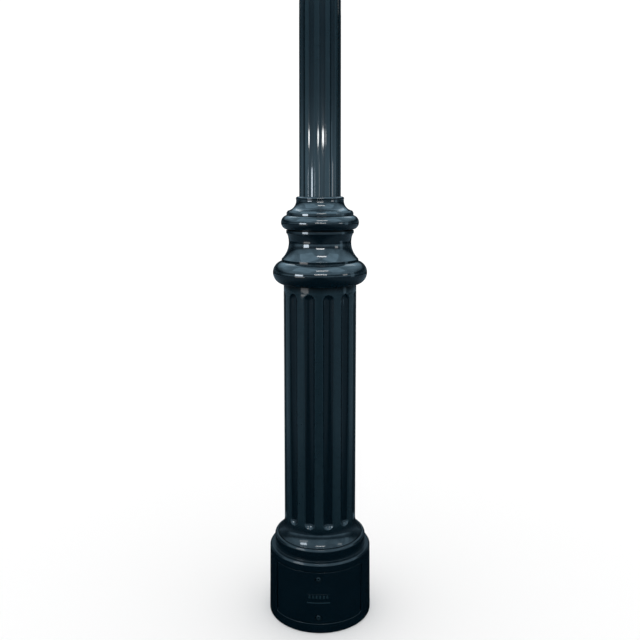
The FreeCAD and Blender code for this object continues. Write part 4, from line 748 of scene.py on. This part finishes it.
def curved_plate(shell, half_width, low, high, corner, depth, thickness, columns, rows, holes=(),
                 crown=DOOR_ARRIS, shift=0.0):
    """A plate that follows the drum, between two depths, with round corners and crowned edges. Columns and
    rows are shares from -1 to 1 of its half sizes. Each hole has its window, the targets of its front and its
    back outline, and its steps from one to the other, each a target and a depth."""
    middle = (low + high) / 2
    half_height = (high - low) / 2
    across, along = np.meshgrid(columns, rows)
    edge_window = (0, len(rows) - 1, 0, len(columns) - 1)

    def place(s, t, grow, down):
        x, z = round_corners(s * (half_width + grow), t * (half_height + grow), half_width + grow,
                             half_height + grow, corner)
        x = x + shift
        z = z + middle
        radius = drum(z) - down
        return np.stack([x, -np.sqrt(radius**2 - x**2), z], axis=-1)

    faces = []
    for down, grow, window_of in ((depth, -crown, 1), (depth + thickness, -crown / 2, 2)):
        s, t = across, along
        for hole in holes:
            s, t = pierced(s, t, hole[0], hole[window_of], 3)
        ids = shell.add(place(s, t, grow, down))
        keep = solid_cells((len(rows), len(columns) - 1), [hole[0] for hole in holes])
        shell.skin(ids, keep)
        faces.append(ids)
    edge = rim(np.stack([across, along], axis=-1), edge_window)
    loops = [rim(faces[0], edge_window)]
    for grow, down in ((-0.44 * crown, 0.11 * crown), (-0.11 * crown, 0.44 * crown), (0, crown),
                       (0, thickness - crown / 2)):
        loops.append(shell.add(place(edge[:, 0], edge[:, 1], grow, depth + down)))
    loops.append(rim(faces[1], edge_window))
    shell.skin(ring(np.stack(loops)))
    for window, _, _, steps in holes:
        start = rim(np.stack([across, along], axis=-1), window)
        loops = [rim(faces[0], window)]
        for target, down in steps:
            s, t = target(start[:, 0], start[:, 1])
            loops.append(shell.add(place(s, t, 0, down)))
        loops.append(rim(faces[1], window))
        shell.skin(ring(np.stack(loops)))


def access_door():
    """The door's plate with its two counterbored screw holes, and the pad, rule and marks on its face."""
    shell = Shell()
    half_height = (DOOR_HIGH - DOOR_LOW) / 2
    middle = (DOOR_HIGH + DOOR_LOW) / 2
    hole_cells = 8
    edge_share = SCREW_WINDOW / DOOR_HALF
    half_columns = stretch([0, edge_share, 1 - DOOR_CORNER / DOOR_HALF, 1], [hole_cells // 2, 30, 6])
    columns = np.concatenate([-half_columns[:0:-1], half_columns])
    stops = [-1.0]
    for height in SCREW_HEIGHTS:
        stops += [(height + side - middle) / half_height for side in (-SCREW_WINDOW, SCREW_WINDOW)]
    cells = [6, hole_cells, 16, hole_cells, 7]
    rows = stretch(stops + [1.0], cells)

    def circle(height, radius):
        return plate_hole(height, radius, SCREW_WINDOW, DOOR_HALF, DOOR_LOW, DOOR_HIGH)

    sunk = [(COUNTERBORE + 0.25 * DOOR_ARRIS, 0.25 * DOOR_ARRIS), (COUNTERBORE, DOOR_ARRIS),
            (COUNTERBORE, COUNTERBORE_DEPTH), (SCREW_HOLE, COUNTERBORE_DEPTH), (SCREW_HOLE, BOSS_BACK),
            (DOOR_BOSS, BOSS_BACK)]
    left = (len(columns) - hole_cells) // 2
    holes = []
    for height, first in zip(SCREW_HEIGHTS, (sum(cells[:1]), sum(cells[:3]))):
        window = (first, first + hole_cells, left, left + hole_cells)
        steps = [(circle(height, radius), depth) for radius, depth in sunk]
        holes.append((window, circle(height, COUNTERBORE + DOOR_ARRIS), circle(height, DOOR_BOSS), steps))
    curved_plate(shell, DOOR_HALF, DOOR_LOW, DOOR_HIGH, DOOR_CORNER, 0, DOOR_THICKNESS, columns, rows, holes)
    pad_columns = stretch([-1, -0.8, 0.8, 1], [4, 16, 4])
    pad_rows = stretch([-1, -0.5, 0.5, 1], [3, 4, 3])
    for half_width, height, lift, rise, count, spread in RAISED:
        low, high = middle + lift - height / 2, middle + lift + height / 2
        corner = min(height / 4, half_width / 2)
        for shift in np.linspace(-spread, spread, count):
            curved_plate(shell, half_width, low, high, corner, -rise, rise + RAISED_ROOT, pad_columns,
                         pad_rows, crown=RAISED_ARRIS, shift=shift)
    shell.piece("door_plate", door_paint, "access_door", "door")


# Pedestal column and shaft


def arc_radius(half_chord, sagitta):
    """Radius of the circle whose arc rises by sagitta over a chord: (h h + s s) / 2 s."""
    return (half_chord**2 + sagitta**2) / (2 * sagitta)


def swept(foot, neck, count):
    """An arc in the profile plane from a foot in to a neck, where it runs straight up."""
    reach = foot[0] - neck[0]
    rise = neck[1] - foot[1]
    radius = arc_radius(rise, reach)
    turn = math.degrees(math.atan2(rise, radius - reach))
    return arc((neck[0] + radius, neck[1]), radius, 180 + turn, 180, count)


def beyond(values, low, high):
    """How far numbers lie outside a stretch, and 0 inside it."""
    return np.maximum(np.maximum(low - values, values - high), 0)


def scoop(angle, radius, depth, half_width, ends):
    """Radius of a flute's floor on a turn by angle from its middle. Its section is a circle of radius a about
    a centre c outside the column, and past the ends of its straight stretch by h the circle shrinks to
    sqrt(a a - h h): r = c cos t - sqrt(a a - h h - c c sin t sin t). Beyond that circle there is no flute."""
    a = arc_radius(half_width, depth)
    c = radius - depth + a
    inside = a**2 - ends**2 - (c * np.sin(angle)) ** 2
    floor = c * np.cos(angle) - np.sqrt(np.maximum(inside, 0))
    return np.where(inside > 0, floor, radius + 1)


def flute_edge(radius, depth, half_width, ends):
    """Angle from a flute's middle to its edge: where its circle meets the column's own."""
    a = arc_radius(half_width, depth)
    c = radius - depth + a
    cosine = (radius**2 + c**2 - a**2 + ends**2) / (2 * radius * c)
    return np.arccos(np.clip(cosine, -1, 1))


def smooth_least(first, second, width):
    """The lesser of two numbers, rounded off where they differ by less than width."""
    overlap = np.maximum(width - abs(first - second), 0) / width
    return np.minimum(first, second) - overlap**2 * width / 4


def flute_columns(edge, count, turn):
    """Angles of all columns, row by row: in each half of a flute's sector, shares up to its edge and shares
    of the rib beyond, both closer together beside the edge."""
    inner = np.array([0, 0.18, 0.36, 0.54, 0.70, 0.83, 0.92, 0.97, 1.0])
    outer = np.array([0.06, 0.16, 0.36, 0.66, 1.0])
    sector = math.pi / count
    half = np.concatenate([edge[:, None] * inner, edge[:, None] + (sector - edge[:, None]) * outer], axis=1)
    whole = np.concatenate([-half[:, :0:-1], half[:, :-1]], axis=1)
    centres = turn + (np.arange(count) * 2 + 1) * sector
    return (centres[None, :, None] + whole[:, None, :]).reshape(len(edge), -1), np.tile(whole, (1, count))


def column_body(height):
    """Radius of the column between its flutes, which tapers evenly from the top of the flare to the neck."""
    share = (height - FLARE_TOP) / (COLUMN_TOP - FLARE_TOP)
    return COLUMN_FOOT_RADIUS + (NECK_RADIUS - COLUMN_FOOT_RADIUS) * share


def pedestal_column():
    """The fluted column: lip, flare, fluted stretch and neck outside, and bore and flanges inside."""
    shell = Shell()
    flare = swept((FLARE_RADIUS, FLARE_LOW), (COLUMN_FOOT_RADIUS, FLARE_TOP), 22)
    lip = outline((FLARE_RADIUS - 0.002, COLUMN_LOW, 0), (FLARE_RADIUS, COLUMN_LOW, 0.001),
                  (FLARE_RADIUS, FLARE_LOW, 0.001), (*flare[2], 0))
    low_apex = FLARE_TOP + FLUTE_FOOT_MARGIN
    high_apex = COLUMN_TOP - FLUTE_NECK_MARGIN
    sweep = FLUTE_HALF * (1 - np.sin(np.linspace(90, 0, 13) * DEGREE))
    low_end = low_apex + sweep
    high_end = high_apex - sweep[::-1]
    straight = np.linspace(low_end[-1], high_end[0], 22)[1:-1]
    neck = stretch([high_apex + 0.002, high_apex + 0.010, COLUMN_TOP], [3, 3])
    above_flare = np.concatenate([low_end, straight, high_end, neck])
    heights = np.concatenate([lip[:-1, 1], flare[2:, 1], above_flare])
    radii = np.concatenate([lip[:-1, 0], flare[2:, 0], column_body(above_flare)])
    ends = beyond(heights, low_apex + FLUTE_HALF, high_apex - FLUTE_HALF)
    apart = beyond(heights, low_apex, high_apex)
    last = FLUTE_HALF * 0.99995  # keeps an edge to put columns beside at a flute's very end
    relaxed = 9.5 * DEGREE  # where the columns stand once they are clear of the flutes
    settling = 0.012
    edge = flute_edge(radii, FLUTE_DEPTH, FLUTE_HALF, np.minimum(ends, last))
    edge = np.where(apart > 0, np.minimum(relaxed, edge + apart / settling * relaxed), edge)
    angles, local = flute_columns(edge, FLUTES, 0)
    floor = scoop(local, radii[:, None], FLUTE_DEPTH, FLUTE_HALF, ends[:, None])
    outer = smooth_least(floor, np.broadcast_to(radii[:, None], floor.shape), FLUTE_ARRIS)
    outer = np.where((apart > 0)[:, None], radii[:, None], outer)
    outer_ids = shell.add(around(outer, heights[:, None], angles))
    flange_low = COLUMN_TOP - COLUMN_FLANGE
    top_bore = SHAFT_RADIUS + SHAFT_ROOM
    inside = outline(
        (NECK_RADIUS, COLUMN_TOP, 0),
        (top_bore, COLUMN_TOP, 0.001),
        (top_bore, flange_low, 0.001),
        (COLUMN_BORE, flange_low, 0.003),
        (COLUMN_BORE, COLUMN_LOW, 0.001),
        (FLARE_RADIUS - 0.002, COLUMN_LOW, 0),
    )
    inner_ids = shell.add(around(inside[1:-1, :1], inside[1:-1, 1:2], angles[-1:]))
    shell.skin(ring(np.concatenate([outer_ids, inner_ids, outer_ids[:1]])))
    shell.piece("fluted_column", column_paint, "pedestal_column")


def main_shaft():
    """The fluted shaft: one section that shrinks evenly from foot to top, and a bore that tapers with it."""
    shell = Shell()
    half_span = SHAFT_FLUTE_SPAN / 2
    half_chord = SHAFT_RADIUS * math.sin(half_span)
    sagitta = SHAFT_RADIUS * math.cos(half_span) - SHAFT_RADIUS + SHAFT_FLUTE_DEPTH
    a = arc_radius(half_chord, sagitta)
    c = SHAFT_RADIUS - SHAFT_FLUTE_DEPTH + a
    heights = np.linspace(SHAFT_LOW, SHAFT_HIGH, 25)
    scale = 1 + (SHAFT_TOP_RADIUS / SHAFT_RADIUS - 1) * (heights - SHAFT_LOW) / (SHAFT_HIGH - SHAFT_LOW)
    angles, local = flute_columns(np.full(len(heights), half_span), FLUTES, SHAFT_TURN)
    inside = a**2 - (c * np.sin(local)) ** 2
    floor = np.where(inside > 0, c * np.cos(local) - np.sqrt(np.maximum(inside, 0)), 1.0)
    section = smooth_least(floor, np.full_like(floor, SHAFT_RADIUS), SHAFT_FLUTE_ARRIS)
    outer = shell.add(around(section * scale[:, None], heights[:, None], angles))
    bore = shell.add(around((SHAFT_RADIUS * scale - SHAFT_WALL)[::-1, None], heights[::-1, None], angles))
    shell.skin(ring(np.concatenate([outer, bore, outer[:1]])))
    shell.piece("fluted_shaft", shaft_paint, "main_shaft")


# Collars

TURNED_COLUMNS = 240


def turned_casting(name, profile, node):
    """A closed profile carried once round the post."""
    shell = Shell()
    ids = shell.turned(profile, np.linspace(-math.pi, math.pi, TURNED_COLUMNS, endpoint=False))
    shell.skin(ring(np.concatenate([ids, ids[:1]])))
    shell.piece(name, casting_paint, node)


def circle_angle(centre, radius, reach):
    """Degrees above level at which a circle has the given radius from the post's axis."""
    return math.degrees(math.acos((reach - centre[0]) / radius))


def through(start, middle, end, count=28):
    """Points on the circle through three profile points."""
    (ax, ay), (bx, by), (cx, cy) = start, middle, end
    d = 2 * (ax * (by - cy) + bx * (cy - ay) + cx * (ay - by))
    a2, b2, c2 = ax * ax + ay * ay, bx * bx + by * by, cx * cx + cy * cy
    x = (a2 * (by - cy) + b2 * (cy - ay) + c2 * (ay - by)) / d
    y = (a2 * (cx - bx) + b2 * (ax - cx) + c2 * (bx - ax)) / d
    first, between, last = (math.atan2(py - y, px - x) for px, py in (start, middle, end))
    sweep = (last - first) % (2 * math.pi)
    if (between - first) % (2 * math.pi) > sweep:
        sweep -= 2 * math.pi
    return arc((x, y), math.hypot(ax - x, ay - y), math.degrees(first), math.degrees(first + sweep), count)


def lower_collar():
    """The large torus, its lip, the scotia and the upper lip, with an even wall inside."""
    radius = 0.044
    bore = NECK_RADIUS + 0.0005
    lip = NECK_RADIUS + 0.0072
    centre = (COLLAR_REACH - radius, COLLAR_LOW + radius)
    torus_low = -circle_angle(centre, radius, bore)
    torus_high = circle_angle(centre, radius, lip)
    torus = arc(centre, radius, torus_low, torus_high, 40)
    lip_top = float(torus[-1, 1]) + 0.009
    scotia_top = SEAM - 0.012
    waist = (SHAFT_RADIUS + 0.0383, lip_top + (scotia_top - lip_top) * 0.63)
    scotia = through((lip - 0.001, lip_top), waist, (SHAFT_RADIUS + 0.0448, scotia_top), 44)
    seam_lip = SHAFT_RADIUS + 0.0476
    socket = SHAFT_RADIUS + 0.0334
    cavity = NECK_RADIUS - 0.0075
    profile = outline(
        torus,
        (lip, lip_top - 0.0012, 0.0009),
        scotia,
        (seam_lip - 0.0006, scotia_top + 0.0002, 0.0006),
        (seam_lip, scotia_top + 0.0016, 0.0008),
        (seam_lip, SEAM, 0.0018),
        (socket, SEAM, 0.0010),
        (socket, SEAM - 0.020, 0.0030),
        (waist[0] - 0.010, waist[1], 0.0100),
        (cavity, lip_top - 0.010, 0.0080),
        (cavity, COLUMN_TOP, 0.0005),
        (bore, COLUMN_TOP, 0.0005),
    )
    turned_casting("lower_collar_casting", profile, "lower_collar")


def upper_collar():
    """The small torus, its lip, the bell up to the bead at the shaft, and the spigot below."""
    radius = 0.027
    centre = (UPPER_COLLAR_REACH - radius, SEAM + 0.0015 + radius)
    groove = SHAFT_RADIUS + 0.0414
    lip = SHAFT_RADIUS + 0.0459
    torus = arc(centre, radius, -62, circle_angle(centre, radius, lip - 0.001), 34)
    lip_low = float(torus[-1, 1]) + 0.0006
    lip_high = lip_low + 0.0094
    foot = (SHAFT_RADIUS + 0.0410, lip_high + 0.0065)
    neck = (SHAFT_RADIUS + 0.0100, UPPER_COLLAR_TOP - 0.014)
    bell = swept(foot, neck, 26)
    bead_radius = 0.007
    bead = arc((neck[0] - 0.006, UPPER_COLLAR_TOP - bead_radius), bead_radius, -35, 90, 14)
    bore = SHAFT_RADIUS - 0.0002  # clear of the shaft, which is thinner here than at its foot
    spigot = SHAFT_RADIUS + 0.0329
    profile = outline(
        (spigot, UPPER_COLLAR_LOW, 0.0010),
        (spigot, SEAM, 0.0004),
        (groove, SEAM, 0.0004),
        (groove, float(torus[0, 1]), 0.0006),
        torus,
        (lip, lip_low, 0.0006),
        (lip, lip_high - 0.0010, 0.0014),
        (lip - 0.0022, lip_high + 0.0030, 0.0020),
        bell,
        bead,
        (bore, UPPER_COLLAR_TOP, 0.0004),
        (bore, neck[1] - 0.005, 0.0020),
        (spigot - 0.006, foot[1] - 0.010, 0.0060),
        (spigot - 0.005, UPPER_COLLAR_LOW, 0.0010),
    )
    turned_casting("upper_collar_casting", profile, "upper_collar")


base_casting()
access_door()
pedestal_column()
main_shaft()
lower_collar()
upper_collar()


# Pieces that keep their own shape


FLAT_TURN = 0.5 * DEGREE
EASED_TURN = 40 * DEGREE


def eased(node, width, material):
    """A copy of a small part with its sharp edges eased: its triangles merged, its flat faces joined, and a
    narrow bevel on every edge that turns by more than EASED_TURN."""
    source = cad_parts[node]
    mesh = source.data.copy()
    mesh.transform(source.matrix_world)
    work = bmesh.new()
    work.from_mesh(mesh)
    bmesh.ops.remove_doubles(work, verts=work.verts, dist=SAME_PLACE)
    bmesh.ops.dissolve_limit(work, angle_limit=FLAT_TURN, verts=work.verts, edges=work.edges)
    work.to_mesh(mesh)
    work.free()
    body = BODY_OF.get(node, "post")
    piece = finished(node + "_eased", mesh, material, body, [node], EASED_TURN)
    bevel = piece.modifiers.new("eased_edges", "BEVEL")
    bevel.width = width
    bevel.segments = 2
    bevel.limit_method = "ANGLE"
    bevel.angle_limit = EASED_TURN
    bevel.use_clamp_overlap = True
    piece.modifiers.move(1, 0)


BODY_OF = {
    "door_top_screw": "top_screw", "door_bottom_screw": "bottom_screw", "terminal_lid": "lid",
    "breaker_toggle": "toggle",
}
EASED_WIDTHS = {
    0.0003: "door_top_screw door_bottom_screw collar_set_screws terminal_bracket breaker_body breaker_toggle "
            "terminal_blocks cable_glands earth_lug",
    0.0004: "shaft_flange_bolts",
    0.0005: "pedestal_bolts terminal_box terminal_lid",
    0.0006: "shaft_foot_flange",
    0.0008: "head_flange",
}
WIDTH_OF = {node: width for width, nodes in EASED_WIDTHS.items() for node in nodes.split()}
FINISHES = [
    (rubber, "door_gasket shaft_foot_grommet head_grommet lid_gasket"),
    (screw_paint, "door_top_screw door_bottom_screw collar_set_screws"),
    (bright_steel, "top_screw_retainer bottom_screw_retainer"),
    (zinc, "pedestal_bolts pedestal_washers shaft_flange_bolts shaft_flange_washers"),
    (casting_paint, "shaft_foot_flange head_flange"),
    (zinc, "terminal_bracket bracket_screws box_screws"),
    (bright_steel, "lid_hinge_pin"),
    (zinc, "din_rail"),
    (box_plastic, "terminal_box terminal_lid"),
    (breaker_plastic, "breaker_body"),
    (toggle_plastic, "breaker_toggle"),
    (terminal_plastic, "terminal_blocks"),
    (nylon, "cable_glands gland_locknuts"),
    (brass, "earth_lug earth_lug_screws"),
]
for material, nodes in FINISHES:
    for node in nodes.split():
        paint(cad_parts[node].data, material)
        if node in WIDTH_OF:
            eased(node, WIDTH_OF[node], material)


# Studio


WHITE = (1.0, 1.0, 1.0)
BLACK = (0.0, 0.0, 0.0)
COOL = (0.52, 0.80, 1.0)
ROOM_TINT = (0.51, 0.80, 1.0)
SOFT_LEVEL = 1.1  # brightness of the world to the eye and to soft light
AIM_HEIGHT = 1.1
FLOOR_HALF = 9.0


def studio_world():
    """White to the eye and to soft light. In reflections it is a cool room in front of the post: dark below,
    bright at eye level, dimmer above that and bright overhead, in uneven patches, with a much darker back."""
    world = bpy.data.worlds.new("studio")
    bpy.context.scene.world = world
    world.use_nodes = True
    shade = Shade.__new__(Shade)
    shade.tree = world.node_tree
    shade.place = shade.node("TexCoord", {}, out="Generated")
    up = shade.part("Z")
    back = shade.part("Y")
    levels = [(0.0, 0.01), (0.455, 0.02), (0.49, 0.72), (0.52, 0.70), (0.56, 0.22), (0.60, 0.12),
              (0.62, 0.15), (0.66, 0.80), (0.76, 1.0)]
    room = shade.node("ValToRGB", {"stops": levels}, up * 0.5 + 0.5)
    patches = 1.65 + shade.band(shade.noise(2.6, 2.0), 0.35, 0.65) * 0.9
    depth = 1.0 - shade.band(back, -0.25, 0.35) * (1.0 - shade.band(up, 0.25, 0.6) * 0.85) * 0.92
    seen = shade.node("LightPath", {}, out="Is Glossy Ray")
    tinted = shade.mix(room, BLACK, ROOM_TINT)
    colour = shade.mix(seen, WHITE, tinted)
    strength = SOFT_LEVEL + seen * (patches * depth - SOFT_LEVEL)
    background = world.node_tree.nodes["Background"]
    world.node_tree.links.new(colour.output, background.inputs["Color"])
    world.node_tree.links.new(strength.output, background.inputs["Strength"])


def studio_floor():
    """A pale floor. In reflections it is dark near the post, a painted shade of the post's foot, and lighter
    far out at the sides.
    """
    mesh = bpy.data.meshes.new("studio_floor")
    corners = [(FLOOR_HALF * x, FLOOR_HALF * y, 0) for x, y in ((-1, -1), (1, -1), (1, 1), (-1, 1))]
    mesh.from_pydata(corners, [], [(0, 1, 2, 3)])
    floor = linked("studio_floor", mesh)
    shade = Shade("pale_floor", Roughness=0.9, Specular_IOR_Level=0.0)
    seen = shade.node("LightPath", {}, out="Is Glossy Ray")
    # painted shade: in reflections the floor goes dark near the post, for the post's shadow on it
    far = shade.band(from_axis(shade, 0.0), 0.3, 2.6)
    side = shade.band(shade.part("X").math("ABSOLUTE"), 0.7, 2.0)
    mirrored = shade.mix(far * (0.08 + side * 0.92), (0.004, 0.006, 0.008), (0.11, 0.165, 0.21))
    colour = shade.mix(seen, (0.93, 0.93, 0.93), mirrored)
    mesh.materials.append(shade.finish(Base_Color=colour))


def softbox(name, azimuth, distance, height, width, tall, brightness, tint=WHITE):
    """A rectangular lamp at an azimuth from the front, turned to face the post at AIM_HEIGHT."""
    data = bpy.data.lights.new(name, "AREA")
    data.color = tint
    data.shape = "RECTANGLE"
    data.size = width
    data.size_y = tall
    data.energy = brightness * math.pi * width * tall
    lamp = linked(name, data)
    angle = azimuth * DEGREE
    lamp.location = (distance * math.sin(angle), -distance * math.cos(angle), height)
    tilt = math.atan2(height - AIM_HEIGHT, distance)
    lamp.rotation_euler = (math.pi / 2 - tilt, 0, angle)
    lamp.visible_camera = False
    lamp.visible_diffuse = False


LENS = 41.625  # millimetres, on a sensor 36 wide
SENSOR = 36
EYE_DISTANCE = 2.772
EYE_HEIGHT = 1.6927
EYE_AZIMUTH = 1.7 * DEGREE
EYE_PITCH = 79.586 * DEGREE  # up from straight down


def camera():
    """Eye height, standing just right of the door's centre line, looking slightly down."""
    data = bpy.data.cameras.new("camera")
    data.lens = LENS
    data.sensor_width = SENSOR
    eye = linked("camera", data)
    eye.location = (EYE_DISTANCE * math.sin(EYE_AZIMUTH), -EYE_DISTANCE * math.cos(EYE_AZIMUTH), EYE_HEIGHT)
    eye.rotation_euler = (EYE_PITCH, 0, EYE_AZIMUTH)
    bpy.context.scene.camera = eye


studio_world()
studio_floor()
LAMPS = [  # name, azimuth in degrees, distance, height, width, how tall, brightness, tint
    ("centre_batten", 3, 1.75, 1.97, 0.9, 0.09, 28),
    ("left_lamp", -48, 1.85, 1.60, 0.65, 0.40, 17, (0.80, 0.90, 1.0)),
    ("left_lamp_foot", -46, 1.85, 1.16, 0.8, 0.22, 3.0),
    ("right_lamp", 62, 1.9, 1.7, 0.40, 0.28, 4),
    ("right_window", 84, 2.2, 1.5, 0.45, 1.2, 1.0, COOL),
    ("left_panel", -52, 1.4, 3.3, 1.9, 1.6, 1.5, COOL),
    ("overhead_batten", 9, 1.15, 2.9, 0.8, 0.15, 17),
    ("right_panel", 55, 1.4, 3.3, 1.4, 1.5, 1.4, COOL),
    ("back_left_lamp", 205, 1.7, 2.9, 0.7, 0.6, 1.2),
    ("back_right_lamp", 150, 1.7, 2.9, 0.7, 0.6, 0.9),
]
for lamp in LAMPS:
    softbox(*lamp)
camera()
bpy.context.scene.view_settings.view_transform = "Standard"
